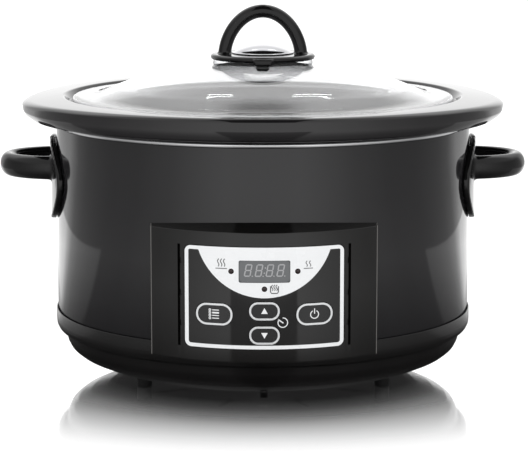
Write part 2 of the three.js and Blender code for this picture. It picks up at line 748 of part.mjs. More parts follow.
function powerBoard() {
  const middle = powerBoardFront + powerBoardLength / 2;
  const level = powerBoardBottom + boardThickness / 2;
  const board = block(powerBoardWidth, powerBoardLength, boardThickness, 0, middle, level);
  const holes = boardScrewPlaces().map(([x, y]) => solid(
    upright(1.8, powerBoardBottom - 2, powerBoardTop + 2, x, y, 10)));
  return geometryOf(cutBy(solid(board), ...holes));
}

function boardScrew() {
  const seat = powerBoardTop + gap;
  return turned([
    [0, seat - 9], [1.2, seat - 8.4], [1.2, seat], [2.8, seat], [2.8, seat + 1.2], [1.8, seat + 2],
    [0, seat + 2],
  ], 12);
}

function onPowerBoard(width, depth, height, x, y) {
  return block(width, depth, height, x, powerBoardFront + y, powerBoardTop + gap + height / 2);
}

function capacitor() {
  const low = powerBoardTop + gap;
  return upright(5, low, low + 14, -18, powerBoardFront + 44, 16);
}

function heaterLead(side) {
  const drop = wellFloorTop + bandLow - gap - 1;
  const radius = bandInner + leadRadius + 0.4;
  const landing = powerBoardTop + gap + 12 + gap + leadRadius;
  return tubeAlong([
    [radius, side * 9, drop], [radius + 1, side * 9, drop - 12], [radius - 2, side * 9 - 2, baseTop + 2],
    [radius - 22, side * 8 - 8, baseTop - 4], [powerBoardWidth / 2 + 16, side * 6 - 26, landing + 6],
    [powerBoardWidth / 2 - 4, side * 4 - 36, landing + 0.6],
    [powerBoardWidth / 2 - 12, side * 4 - 38, landing + 0.6],
  ], leadRadius, 6, 20);
}

function ribbonCable() {
  const back = boardFace + boardThickness;
  const path = new THREE.CatmullRomCurve3([
    [0, back + 1.1, overlayLow + 12], [0, back + 1.3, overlayLow + 4], [0, back + 4, baseTop - 3],
    [0, back + 20, baseTop - 10], [0, powerBoardFront - 16, powerBoardTop + 8],
    [0, powerBoardFront + 3, powerBoardTop + 4],
  ].map((point) => new THREE.Vector3(...point)));
  const section = roundedOutline(12, 0.8, 0.1, 1);
  return new THREE.ExtrudeGeometry(section, { steps: 22, extrudePath: path, bevelEnabled: false });
}

// ---- crock ----

// Widens the rim into its two side grips and lets them dip towards their tips.
function shapeRim(geometry) {
  const position = geometry.attributes.position;
  const start = ledgeRadius + 2;
  for (let i = 0; i < position.count; i += 1) {
    const x = position.getX(i);
    const y = position.getY(i);
    const z = position.getZ(i);
    const radius = Math.hypot(x, y);
    if (radius <= start || z < rimSeat - 0.1) continue;
    const outward = Math.min(1, (radius - start) / (rimRadius - start));
    const sideways = Math.abs(x) / radius;
    const raised = (z - rimSeat) / rimHeight;
    position.setX(i, x * (1 + (outward * rimGrip) / rimRadius));
    position.setZ(i, z - gripDip * outward * raised * sideways ** 6);
  }
  return geometry;
}

function crockBody() {
  const corner = 16;
  const innerCorner = 12;
  const profile = [
    [0, crockBottom], ...arcPoints(crockRadius - corner, crockBottom + corner, corner, -90, 0, 3),
    [crockRadius, rimSeat - 2], [crockRadius + 1.6, rimSeat], [rimRadius - 5, rimSeat],
    [rimRadius - 2.4, rimSeat + 1.4], [rimRadius - 0.5, rimSeat + 7], [rimRadius, rimTop - 2.6],
    [rimRadius - 0.7, rimTop - 0.8], [rimRadius - 2.6, rimTop], [ledgeRadius + 4, rimTop - 0.3],
    [ledgeRadius + 1.8, rimTop - 1.1], [ledgeRadius, ledgeTop], [crockInnerRadius + 8, ledgeTop],
    [crockInnerRadius + 2.4, ledgeTop - 2], [crockInnerRadius, ledgeTop - 7],
    ...arcPoints(crockInnerRadius - innerCorner, crockFloorTop + innerCorner, innerCorner, 0, -90, 3),
    [0, crockFloorTop],
  ];
  return shapeRim(turned(profile));
}

// ---- lid ----

function domePoints(radius, centreZ, from, to, steps) {
  return Array.from({ length: steps + 1 }, (_, i) => {
    const r = from + ((to - from) * i) / steps;
    return [r, centreZ + Math.sqrt(radius ** 2 - r ** 2)];
  });
}

function lidGlass() {
  const centreZ = domeTop - domeRadius;
  const hole = lidScrewRadius + 0.6;
  return turnedRing([
    ...domePoints(domeRadius - glassThickness, centreZ, hole, domeEdge - 1, 5), [domeEdge + 1, lidBottom],
    [lidRadius - 1.6, lidBottom], [lidRadius - 0.4, lidBottom + 0.9],
    [lidRadius, lidBottom + glassThickness / 2], [lidRadius - 0.4, flangeTop - 0.9],
    [lidRadius - 1.6, flangeTop],
    ...domePoints(domeRadius, centreZ, domeEdge, hole, 5),
  ]);
}

function lidGasket() {
  const centreZ = domeTop - domeRadius;
  const bore = 6;
  const edge = knobPlateRadius - 2;
  const top = knobPlateBottom - gap;
  return turnedRing([
    ...domePoints(domeRadius + gap, centreZ, bore, edge, 3), [edge, top], [bore, top],
  ], 32);
}

// Arch of the handle: an upright half loop over the plate.
class ArchCurve extends THREE.Curve {
  getPoint(t, target = new THREE.Vector3()) {
    const angle = Math.PI * t;
    const half = archHalfWidth - archSection / 2;
    const rise = archHeight - archSection / 2;
    const sunk = 1.5;
    const level = knobPlateTop - sunk + (rise + sunk) * Math.sin(angle) ** 0.9;
    return target.set(-half * Math.cos(angle), 0, level);
  }
}

function lidHandle() {
  const hole = lidScrewRadius + gap;
  const plate = solid(turned([
    [0, knobPlateBottom], [knobPlateRadius - 1, knobPlateBottom], [knobPlateRadius, knobPlateBottom + 0.8],
    [knobPlateRadius - 0.4, knobPlateTop - 0.9], [knobPlateRadius - 2, knobPlateTop], [0, knobPlateTop],
  ], 36));
  const section = roundedOutline(archDepth, archSection, archSection * 0.42, 2);
  const settings = { steps: 18, extrudePath: new ArchCurve(), bevelEnabled: false };
  const arch = solid(new THREE.ExtrudeGeometry(section, settings));
  const tabCorners = [[-7.6, 0], [-5.6, -4.4], [5.6, -4.4], [7.6, 0]];
  const tabShape = new THREE.Shape(tabCorners.map(([x, z]) => new THREE.Vector2(x, z)));
  const tabLevel = knobPlateBottom + 2;
  const tab = solid(forwardPrism(tabShape, 0, tabLevel, knobPlateRadius - 1.5, knobPlateRadius + 2));
  const screwHole = upright(hole, knobPlateBottom - 5, knobPlateTop - 0.8, 0, 0, 16);
  return geometryOf(cutBy(joined(plate, arch, tab), solid(screwHole)));
}

function lidEscutcheon() {
  const bottom = knobPlateTop + gap;
  const radius = (domeCapRadius ** 2 + domeCapHeight ** 2) / (2 * domeCapHeight);
  const cap = domePoints(radius, bottom + domeCapHeight - radius, domeCapRadius - 0.4, 0, 5);
  return turned([[0, bottom], [domeCapRadius - 0.4, bottom], ...cap], 32);
}

function lidWasher() {
  const top = domeTop - glassThickness - gap - 0.2;
  return turnedRing([
    [lidScrewRadius + gap, top - 1.4], [8, top - 1.4], [8, top], [lidScrewRadius + gap, top],
  ], 24);
}

function lidScrew() {
  const seat = domeTop - glassThickness - 2 * gap - 1.6;
  const tip = knobPlateTop - 0.8 - gap;
  return turned([
    [0, seat - 3], [3.6, seat - 3], [4.8, seat - 2], [4.8, seat], [lidScrewRadius, seat],
    [lidScrewRadius, tip], [0, tip],
  ], 16);
}

// ---- materials ----

function finish(colour, roughness, metalness = 0) {
  return new THREE.MeshStandardMaterial({ color: colour, roughness, metalness });
}

const blackEnamel = () => finish(0x2b2a2c, 0.16);
const blackGlaze = () => finish(0x1d1c1d, 0.08);
const blackPlastic = () => finish(0x1b1a1a, 0.3);
const satinPlastic = () => finish(0x242323, 0.42);
const brightMetal = () => finish(0xc9c9cb, 0.2, 1);
const zincSteel = () => finish(0x9a9c9e, 0.4, 1);
const boardGreen = () => finish(0x2c5a3a, 0.5);
const rubberBlack = () => finish(0x141414, 0.8);

// ---- assembly ----

const cooker = new THREE.Group();

function add(name, geometry, material) {
  const mesh = new THREE.Mesh(geometry, material);
  mesh.name = name;
  cooker.add(mesh);
  return mesh;
}

add('outer_shell', shellBody(), blackEnamel());
add('trim_ring', trimRing(), brightMetal());
add('heating_well', heatingWell(), zincSteel());
add('well_bracket', wellBracket(), zincSteel());
add('base_housing', baseHousing(), blackPlastic());
add('tie_bolt', tieBolt(), zincSteel());
add('tie_nut', tieNut(), zincSteel());
['front_left', 'front_right', 'rear'].forEach((place, i) => {
  const foot = add(`foot_${place}`, rubberFoot(), rubberBlack());
  foot.position.set(...footPlaces()[i], 0);
});
add('cord_gland', cordGland(), blackPlastic());

add('handle_left', handleBody(-1), blackPlastic());
add('handle_right', handleBody(1), blackPlastic());
handleScrewPlaces().forEach(([side, y], i) => {
  const screw = add(`handle_screw_${i + 1}`, handleScrew(), zincSteel());
  screw.rotation.z = (side * Math.PI) / 2;
  screw.position.set(0, y, gripLevel);
});

add('control_fascia', controlFascia(), satinPlastic());
add('panel_overlay', panelOverlay(), finish(0xe4e6e6, 0.25));
add('display_window', displayWindow(), finish(0x6c7274, 0.12));
add('display_module', displayModule(), finish(0x54595a, 0.4));
lamps().forEach((lamp) => add(`lamp_${lamp.name}`, lampLens(lamp), finish(0x2a1a1a, 0.2)));
add('control_board', controlBoard(), boardGreen());
keys().forEach((key) => add(`switch_${key.name}`, tactSwitch(key), finish(0x303030, 0.5)));
fasciaScrewPlaces().forEach(([angle, z], i) => {
  const screw = add(`fascia_screw_${i + 1}`, fasciaScrew(), zincSteel());
  screw.rotation.z = angle;
  screw.position.z = z;
});

add('heater_band', heaterBand(), finish(0xb9a98a, 0.6));
add('band_spring', bandSpring(), zincSteel());
add('temperature_sensor', temperatureSensor(), finish(0xb0b2b4, 0.4, 1));
add('sensor_spring', sensorSpring(), zincSteel());
add('thermal_fuse', thermalFuse(), finish(0xd8d4c8, 0.5));
add('power_board', powerBoard(), boardGreen());
boardScrewPlaces().forEach(([x, y], i) => {
  const screw = add(`board_screw_${i + 1}`, boardScrew(), zincSteel());
  screw.position.set(x, y, 0);
});
add('relay', onPowerBoard(15, 19, 15, -34, 26), finish(0x28407a, 0.4));
add('transformer', onPowerBoard(24, 22, 18, 4, 22), finish(0xd0b040, 0.5));
add('capacitor', capacitor(), finish(0x2d2f3c, 0.4));
add('terminal_block', onPowerBoard(16, 26, 12, powerBoardWidth / 2 - 12, 36), finish(0x3a7a4a, 0.5));
add('heater_lead_1', heaterLead(-1), finish(0xd9d6cf, 0.7));
add('heater_lead_2', heaterLead(1), finish(0xd9d6cf, 0.7));
add('ribbon_cable', ribbonCable(), finish(0xbfc2c4, 0.6));

add('crock', crockBody(), blackGlaze());

add('lid_glass', lidGlass(), finish(0xdfe6e6, 0.05));
add('lid_gasket', lidGasket(), finish(0xd5d8d8, 0.5));
add('lid_handle', lidHandle(), blackPlastic());
add('lid_escutcheon', lidEscutcheon(), brightMetal());
add('lid_washer', lidWasher(), zincSteel());
add('lid_screw', lidScrew(), zincSteel());

keys().forEach((key) => add(`button_${key.name}`, keyBody(key), finish(0x3a3a3b, 0.35)));

export default cooker;
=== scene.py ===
import json
import math

import bmesh
import bpy
from mathutils import Matrix, Vector


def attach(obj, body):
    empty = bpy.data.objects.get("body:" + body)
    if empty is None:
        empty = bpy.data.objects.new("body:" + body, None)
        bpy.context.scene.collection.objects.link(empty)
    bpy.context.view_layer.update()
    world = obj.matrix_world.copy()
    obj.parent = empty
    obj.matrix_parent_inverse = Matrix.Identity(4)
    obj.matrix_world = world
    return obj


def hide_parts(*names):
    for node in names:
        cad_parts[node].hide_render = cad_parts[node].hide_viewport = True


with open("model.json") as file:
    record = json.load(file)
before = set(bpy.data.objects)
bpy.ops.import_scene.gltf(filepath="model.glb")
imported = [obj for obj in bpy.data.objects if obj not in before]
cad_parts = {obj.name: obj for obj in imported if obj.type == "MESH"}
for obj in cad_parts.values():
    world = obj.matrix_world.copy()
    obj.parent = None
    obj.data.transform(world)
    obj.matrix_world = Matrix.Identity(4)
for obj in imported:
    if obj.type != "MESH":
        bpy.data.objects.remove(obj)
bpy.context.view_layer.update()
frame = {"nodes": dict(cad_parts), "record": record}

cad = frame["nodes"]
mm = 0.001
scene = bpy.context.scene


# ---------- making and finishing pieces (all shapes are drawn in millimetres) ----------

def makePiece(name, bm, look, body, stands=(), sharp=35, merge=0.002):
    if merge:
        bmesh.ops.remove_doubles(bm, verts=bm.verts, dist=merge)
    bmesh.ops.dissolve_degenerate(bm, dist=0.0005, edges=bm.edges)
    bmesh.ops.recalc_face_normals(bm, faces=bm.faces)
    bmesh.ops.scale(bm, vec=(mm, mm, mm), verts=bm.verts)
    mesh = bpy.data.meshes.new(name)
    bm.to_mesh(mesh)
    bm.free()
    piece = bpy.data.objects.new(name, mesh)
    scene.collection.objects.link(piece)
    if look:
        dress(piece, look, sharp)
    if body:
        settle(piece, body, stands)
    return piece


def dress(piece, look, sharp=35):
    piece.data.materials.clear()
    piece.data.materials.append(look)
    for face in piece.data.polygons:
        face.use_smooth = True
    piece.data.set_sharp_from_angle(angle=math.radians(sharp))


def settle(piece, body, stands=()):
    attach(piece, body)
    if stands:
        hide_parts(*stands)


def bake(piece):
    # the modifiers' result becomes the mesh
    bpy.context.view_layer.update()
    shaped = bpy.data.meshes.new_from_object(piece.evaluated_get(bpy.context.evaluated_depsgraph_get()))
    old = piece.data
    piece.modifiers.clear()
    piece.data = shaped
    bpy.data.meshes.remove(old)


def cut(piece, *shapes, keep="DIFFERENCE"):
    for shape in shapes:
        tool = rawPiece("tool", shape)
        step = piece.modifiers.new("cut", "BOOLEAN")
        step.operation = keep
        step.solver = "EXACT"
        step.object = tool
        bake(piece)
        bpy.data.objects.remove(tool)
    return mend(piece)


def mend(piece):
    # folded slivers left by a cut have no thickness, so both sides of them go
    bm = bmesh.new()
    bm.from_mesh(piece.data)
    bmesh.ops.remove_doubles(bm, verts=bm.verts, dist=0.001 * mm)
    bmesh.ops.triangulate(bm, faces=bm.faces)
    for _ in range(4):
        twins = {}
        for face in bm.faces:
            twins.setdefault(frozenset(face.verts), []).append(face)
        spare = {face for group in twins.values() if len(group) > 1 for face in group}
        spare |= {face for face in bm.faces if any(len(e.link_faces) == 1 for e in face.edges)
                  and any(len(e.link_faces) > 2 for e in face.edges)}
        if spare:
            bmesh.ops.delete(bm, geom=list(spare), context="FACES")
    bm.to_mesh(piece.data)
    bm.free()
    return piece


def rawPiece(name, bm):
    return makePiece(name, bm, None, None)


def wear(piece, slot, body, stands, sharp):
    dress(piece, looks[slot], sharp)
    settle(piece, body, stands)


def evenSkin(piece, voxel, passes):
    # one skin over the joined lumps, with its edges softened
    fuse = piece.modifiers.new("even skin", "REMESH")
    fuse.mode = "VOXEL"
    fuse.voxel_size = voxel * mm
    soften = piece.modifiers.new("soft edges", "SMOOTH")
    soften.factor = 0.5
    soften.iterations = passes
    bake(piece)


# ---------- outlines ----------

def fillet(points, radius, steps=4, closed=True):
    # rounds every corner of an outline; a corner given with a third number has its own radius
    out = []
    count = len(points)
    for i, point in enumerate(points):
        here = Vector(point[:2])
        if not closed and i in (0, count - 1):
            out.append(tuple(here))
            continue
        before = Vector(points[i - 1][:2]) - here
        after = Vector(points[(i + 1) % count][:2]) - here
        wanted = point[2] if len(point) > 2 else radius
        turn = math.pi - before.angle(after)
        if wanted <= 0 or turn < 0.02:
            out.append(tuple(here))
            continue
        reach = min(wanted * math.tan(turn / 2), before.length * 0.48, after.length * 0.48)
        actual = reach / math.tan(turn / 2)
        start = here + before.normalized() * reach
        end = here + after.normalized() * reach
        middle = (before.normalized() + after.normalized()).normalized()
        centre = here + middle * (actual / math.cos(turn / 2))
        a, b = start - centre, end - centre
        for k in range(steps + 1):
            mix = k / steps
            ray = (a * math.sin((1 - mix) * turn) + b * math.sin(mix * turn)) / math.sin(turn)
            out.append(tuple(centre + ray))
    return out


def circle(cx, cz, radius, steps=32):
    return [(cx + radius * math.cos(2 * math.pi * k / steps), cz + radius * math.sin(2 * math.pi * k / steps))
            for k in range(steps)]


def roundRect(cx, cz, width, height, corner, steps=8):
    w, h = width / 2, height / 2
    return fillet([(cx - w, cz - h), (cx + w, cz - h), (cx + w, cz + h), (cx - w, cz + h)], corner, steps)


def stroke(points, width):
    # a line of even width through the points
    left, right = [], []
    for i, point in enumerate(points):
        a = Vector(points[max(i - 1, 0)])
        b = Vector(points[min(i + 1, len(points) - 1)])
        side = (b - a).normalized().orthogonal() * width / 2
        left.append(tuple(Vector(point) + side))
        right.append(tuple(Vector(point) - side))
    return left + right[::-1]


def arcLine(cx, cz, radius, start, end, steps=24):
    return [(cx + radius * math.cos(math.radians(start + (end - start) * k / steps)),
             cz + radius * math.sin(math.radians(start + (end - start) * k / steps))) for k in range(steps + 1)]


# ---------- solids ----------

def spinSolid(profile, steps, closed=True):
    # turned about the upright axis from (radius, height) points
    bm = bmesh.new()
    corners = [bm.verts.new((r, 0, z)) for r, z in profile]
    edges = [bm.edges.new((a, b)) for a, b in zip(corners, corners[1:])]
    if closed:
        edges.append(bm.edges.new((corners[-1], corners[0])))
    bmesh.ops.spin(bm, geom=corners + edges, cent=(0, 0, 0), axis=(0, 0, 1), angle=2 * math.pi, steps=steps,
                   use_merge=True)
    bmesh.ops.remove_doubles(bm, verts=bm.verts, dist=0.001)
    return bm


def flatSolid(outlines, near, far):
    # outlines in X and Z, some inside others as holes, given a depth from near to far along -Y
    curve = bpy.data.curves.new("outline", "CURVE")
    curve.dimensions = "2D"
    curve.fill_mode = "BOTH"
    curve.extrude = abs(far - near) / 2
    for outline in outlines:
        line = curve.splines.new("POLY")
        line.points.add(len(outline) - 1)
        for point, (x, z) in zip(line.points, outline):
            point.co = (x, z, 0, 1)
        line.use_cyclic_u = True
    holder = bpy.data.objects.new("outline", curve)
    mesh = bpy.data.meshes.new_from_object(holder)
    bm = bmesh.new()
    bm.from_mesh(mesh)
    bpy.data.objects.remove(holder)
    bpy.data.curves.remove(curve)
    bpy.data.meshes.remove(mesh)
    bmesh.ops.remove_doubles(bm, verts=bm.verts, dist=0.001)
    for corner in bm.verts:
        corner.co = Vector((corner.co.x, -(near + far) / 2 - corner.co.z, corner.co.y))
    return bm


def sliceSheet(bm, pitch):
    # cross cuts at even steps of X, so that the sheet can bend
    values = [corner.co.x for corner in bm.verts]
    k = math.ceil(min(values) / pitch)
    while k * pitch < max(values):
        bmesh.ops.bisect_plane(bm, geom=bm.verts[:] + bm.edges[:] + bm.faces[:], dist=0.0005,
                               plane_co=(k * pitch, 0, 0), plane_no=(1, 0, 0))
        k += 1
    return bm


def move(bm, x=0, y=0, z=0):
    bmesh.ops.translate(bm, vec=(x, y, z), verts=bm.verts)
    return bm


def turn(bm, degrees, axis="Z"):
    matrix = Matrix.Rotation(math.radians(degrees), 3, axis)
    bmesh.ops.rotate(bm, cent=(0, 0, 0), matrix=matrix, verts=bm.verts)
    return bm


def boxSolid(x0, x1, y0, y1, z0, z1):
    bm = bmesh.new()
    bmesh.ops.create_cube(bm, size=1)
    bmesh.ops.scale(bm, vec=(x1 - x0, y1 - y0, z1 - z0), verts=bm.verts)
    return move(bm, (x0 + x1) / 2, (y0 + y1) / 2, (z0 + z1) / 2)


def rodSolid(radius, z0, z1, steps=32, edge=0):
    profile = fillet([(0, z0, 0), (radius, z0, edge), (radius, z1, edge), (0, z1, 0)], 0, 4)
    return spinSolid(profile, steps, closed=False)


def sweepSolid(outline, middle, fixed):
    # a section of (across, fixed) corners carried along the line of middles
    bm = bmesh.new()
    ring = [bm.verts.new((u, v, 0)) for u, v in outline]
    bm.faces.new(ring)
    rings = [ring]
    for _ in middle[1:]:
        grown = bmesh.ops.extrude_edge_only(bm, edges=[e for e in bm.edges if e.verts[0] in rings[-1]
                                                       and e.verts[1] in rings[-1]])
        fresh = {g for g in grown["geom"] if isinstance(g, bmesh.types.BMVert)}
        # each new corner is found by the old one it left, since extrude may change the order
        rings.append([next(e.other_vert(old) for e in old.link_edges if e.other_vert(old) in fresh)
                      for old in rings[-1]])
    last = len(middle) - 1
    for k, row in enumerate(rings):
        ahead = (middle[min(k + 1, last)] - middle[max(k - 1, 0)]).normalized()
        across = ahead.cross(fixed).normalized()
        for corner, (u, v) in zip(row, outline):
            corner.co = middle[k] + across * u + fixed * v
    bm.faces.new(rings[-1][::-1])
    return bm


def joinMeshes(first, *others):
    for other in others:
        spare = bpy.data.meshes.new("spare")
        other.to_mesh(spare)
        other.free()
        first.from_mesh(spare)
        bpy.data.meshes.remove(spare)
    return first


# ---------- shader nodes ----------

class Shading:
    # adds nodes to one tree; an input given as a socket is linked, any other is set
    def __init__(self, owner):
        owner.use_nodes = True
        self.tree = owner.node_tree

    def add(self, kind, inputs=None, **settings):
        node = self.tree.nodes.new("ShaderNode" + kind)
        for key, value in settings.items():
            setattr(node, key, value)
        return self.fill(node, inputs or {})

    def fill(self, node, inputs):
        if isinstance(node, str):
            node = self.tree.nodes[node]
        for socket, value in inputs.items():
            if isinstance(value, bpy.types.NodeSocket):
                self.tree.links.new(value, node.inputs[socket])
            else:
                node.inputs[socket].default_value = value
        return node

    def maths(self, kind, a, b=0.0):
        return self.add("Math", {0: a, 1: b}, operation=kind).outputs[0]

    def times(self, value, *others):
        for other in others:
            value = self.maths("MULTIPLY", value, other)
        return value

    def dim(self, level, mask, share):
        # the level loses this share of itself where the mask is 1
        return self.times(level, self.maths("SUBTRACT", 1.0, self.times(mask, share)))

    def distance(self, place, scale):
        scaled = self.add("Mapping", {"Scale": scale, "Vector": place}).outputs["Vector"]
        return self.add("VectorMath", {0: scaled}, operation="LENGTH").outputs["Value"]

    def ease(self, value, start, end):
        return self.add("MapRange", {"Value": value, "From Min": start, "From Max": end},
                        interpolation_type="SMOOTHSTEP").outputs["Result"]

    def blend(self, factor, a, b):
        return self.add("Mix", {0: factor, 2: a, 3: b}, data_type="FLOAT").outputs[0]

    def tint(self, factor, a, b):
        return self.add("Mix", {0: factor, 6: a, 7: b}, data_type="RGBA").outputs[2]

    def ramp(self, value, stops, scale=1.0):
        node = self.add("ValToRGB", {"Fac": self.maths("DIVIDE", value, scale)})
        while len(node.color_ramp.elements) < len(stops):
            node.color_ramp.elements.new(0.5)
        for element, (place, level) in zip(node.color_ramp.elements, stops):
            element.position = place / scale
            element.color = (level, level, level, 1)
        return node.outputs["Color"]

    def direction(self, vector):
        # X, Y, Z, the length over the floor, and 0 straight behind to 1 straight in front
        x, y, z = self.add("SeparateXYZ", {0: vector}).outputs
        flat = self.maths("SQRT", self.maths("ADD", self.times(x, x), self.times(y, y)))
        share = self.maths("DIVIDE", y, self.maths("MAXIMUM", flat, 0.0001))
        return x, y, z, flat, self.maths("ADD", self.times(share, -0.5), 0.5)


# ---------- finishes ----------

def finish(name, colour, tint=None, rough=0.3, roughSpread=0.05, metal=0.0, grain=400, grainDepth=0.02,
           cloud=18, stretch=(1, 1, 1), pattern="noise", coat=0.0, coatRough=0.05, level=0.5, **extra):
    look = bpy.data.materials.new(name)
    shade = Shading(look)
    place = shade.add("TexCoord").outputs["Object"]
    place = shade.add("Mapping", {"Scale": stretch, "Vector": place}).outputs["Vector"]
    clouds = shade.add("TexNoise", {"Scale": cloud, "Detail": 4, "Vector": place}).outputs["Fac"]
    tint = tint or [c * 1.25 + 0.002 for c in colour]
    spread = shade.add("MapRange", {"Value": clouds, "From Min": 0.3, "From Max": 0.7,
                                    "To Min": max(rough - roughSpread, 0), "To Max": rough + roughSpread})
    if pattern == "cells":
        height = shade.add("TexVoronoi", {"Scale": grain, "Vector": place}).outputs["Distance"]
    else:
        height = shade.add("TexNoise", {"Scale": grain, "Detail": 3, "Vector": place}).outputs["Fac"]
    bump = shade.add("Bump", {"Strength": 0.4, "Distance": grainDepth * mm, "Height": height})
    inputs = {"Metallic": metal, "Specular IOR Level": level, "Coat Weight": coat, "Coat Roughness": coatRough,
              "Base Color": shade.tint(clouds, (*colour, 1), (*tint, 1)), "Roughness": spread.outputs["Result"],
              "Normal": bump.outputs["Normal"]}
    inputs |= {socket.replace("_", " "): value for socket, value in extra.items()}
    shade.fill("Principled BSDF", inputs)
    return look


print("finishes")
looks = {
    "shell_enamel": finish("charcoalEnamel", (0.0070, 0.0066, 0.0074), rough=0.06, roughSpread=0.02, grain=260,
                           grainDepth=0.010, cloud=9, coat=0.12, coatRough=0.03),
    "bright_trim": finish("brightTrim", (0.70, 0.70, 0.71), (0.78, 0.78, 0.79), rough=0.24, metal=1, grain=900,
                          grainDepth=0.01, cloud=40),
    "well_metal": finish("rolledWellSheet", (0.50, 0.51, 0.52), (0.62, 0.63, 0.64), rough=0.34, metal=1, grain=60,
                         grainDepth=0.03, cloud=25, stretch=(1, 1, 14)),
    "fastener_steel": finish("zincPlatedSteel", (0.55, 0.55, 0.53), (0.68, 0.68, 0.66), rough=0.32, metal=1,
                             grain=700, grainDepth=0.02, cloud=60),
    "base_plastic": finish("mouldedBaseBlack", (0.0036, 0.0033, 0.0033), rough=0.20, level=0.38, grain=950,
                           grainDepth=0.03, cloud=30, pattern="cells"),
    "fascia_plastic": finish("mouldedFasciaBlack", (0.0036, 0.0033, 0.0031), rough=0.07, roughSpread=0.015,
                             grain=900, grainDepth=0.018, cloud=22, pattern="cells"),
    "handle_plastic": finish("mouldedHandleBlack", (0.0036, 0.0034, 0.0036), level=0.36, rough=0.08,
                             roughSpread=0.02, grain=700, grainDepth=0.012, cloud=28),
    "foot_rubber": finish("footRubber", (0.010, 0.010, 0.010), rough=0.75, grain=600, grainDepth=0.06, cloud=50,
                          pattern="cells"),
    "panel_print": finish("panelWhiteInk", (0.80, 0.81, 0.82), (0.86, 0.87, 0.88), rough=0.28, grain=1200,
                          grainDepth=0.006, cloud=50),
    "window_plastic": finish("smokedWindow", (0.115, 0.120, 0.125), (0.145, 0.150, 0.155), rough=0.16, grain=1500,
                             grainDepth=0.006, cloud=120),
    "key_plastic": finish("keyRubberBlack", (0.012, 0.012, 0.0125), rough=0.28, grain=1300, grainDepth=0.012,
                          cloud=90),
    "lamp_plastic": finish("lampLens", (0.020, 0.014, 0.014), (0.050, 0.030, 0.030), rough=0.12, grain=2500,
                           grainDepth=0.006, cloud=500, Transmission_Weight=0.25),
    "board": finish("greenBoard", (0.015, 0.075, 0.035), (0.03, 0.12, 0.05), rough=0.35, grain=700,
                    grainDepth=0.04, cloud=200, pattern="cells"),
    "component_plastic": finish("componentPlastic", (0.05, 0.06, 0.08), rough=0.4, grain=900, grainDepth=0.03,
                                cloud=80),
    "heater_sheet": finish("micaHeaterSheet", (0.42, 0.35, 0.24), (0.56, 0.49, 0.36), rough=0.5, grain=300,
                           grainDepth=0.05, cloud=45, pattern="cells"),
    "wire_sleeve": finish("glassFibreSleeve", (0.68, 0.66, 0.62), (0.80, 0.78, 0.74), rough=0.7, grain=1600,
                          grainDepth=0.08, cloud=200, pattern="cells"),
    "crock_glaze": finish("blackStonewareGlaze", (0.0060, 0.0057, 0.0060), (0.011, 0.010, 0.011), rough=0.05,
                          roughSpread=0.02, grain=90, grainDepth=0.03, cloud=14, coat=0.15, coatRough=0.03),
    "lid_seal": finish("clearSiliconeSeal", (0.93, 0.94, 0.96), (0.97, 0.98, 0.99), rough=0.06, roughSpread=0.02,
                       grain=900, grainDepth=0.004, cloud=60, level=0.2, Transmission_Weight=0.96, IOR=1.12),
    "lid_glass": finish("temperedLidGlass", (0.985, 0.99, 1.0), (0.97515, 0.9801, 0.99), rough=0.004,
                        roughSpread=0.002, grain=12, grainDepth=0.0006, cloud=10, Transmission_Weight=1.0,
                        IOR=1.5),
}
chrome = finish("polishedCap", (0.46, 0.46, 0.48), (0.52, 0.52, 0.54), rough=0.07, metal=1, grain=500,
                grainDepth=0.008, cloud=30)
overlayBlack = finish("panelBlackInk", (0.0062, 0.0060, 0.0060), rough=0.06, grain=1100, grainDepth=0.008,
                      cloud=35)
ringSilver = finish("keyRingSilver", (0.70, 0.71, 0.72), (0.80, 0.81, 0.82), rough=0.24, metal=0.35, grain=1500,
                    grainDepth=0.008, cloud=150)
digitGrey = finish("unlitDigitGrey", (0.34, 0.34, 0.35), (0.42, 0.42, 0.43), rough=0.3, grain=1500,
                   grainDepth=0.006, cloud=200)
inkGrey = finish("panelGreyInk", (0.055, 0.055, 0.058), (0.085, 0.085, 0.088), rough=0.35, grain=1500,
                 grainDepth=0.006, cloud=200)


def edgeMask(shade, start, end, across):
    # 0 inside, 1 past the given distance from the middle plane or the axis
    away = shade.distance(shade.add("TexCoord").outputs["Object"], across)
    return shade.add("MapRange", {"Value": away, "From Min": start * mm, "From Max": end * mm}).outputs["Result"]


# mixes a paler colour into the base colour where the mask is 1, to paint a highlight along an edge
def paintEdgeHighlight(shade, mask, colour):
    plain = shade.tree.nodes["Principled BSDF"].inputs["Base Color"].links[0].from_socket
    shade.fill("Principled BSDF", {"Base Color": shade.tint(mask, plain, (*colour, 1))})


# painted highlight: the outer edge of the glass is painted pale and made less clear, to show a bright edge
glassShade = Shading(looks["lid_glass"])
glassEdgeHighlight = edgeMask(glassShade, 131.6, 132.0, (1, 1, 0))
paintEdgeHighlight(glassShade, glassEdgeHighlight, (0.80, 0.80, 0.82))
glassShade.fill("Principled BSDF", {"Transmission Weight": glassShade.add("MapRange", {
    "Value": glassEdgeHighlight, "To Min": 1.0, "To Max": 0.25}).outputs["Result"]})
# painted highlight: a paler line is painted down each side edge of the moulding, where the edge catches light
fasciaShade = Shading(looks["fascia_plastic"])
paintEdgeHighlight(fasciaShade, fasciaShade.maths("SUBTRACT", edgeMask(fasciaShade, 73.35, 73.5, (1, 0, 0)),
                                        edgeMask(fasciaShade, 73.9, 74.0, (1, 0, 0))), (0.13, 0.125, 0.12))

# the hidden parts keep their CAD shape and take the finish of their slot
slotOf = {part["node"]: part["material_slot"] for part in frame["record"]["subparts"]}
for nodeName, node in cad.items():
    node.data.materials.clear()
    node.data.materials.append(looks[slotOf[nodeName]])


# ---------- camera, light and floor ----------

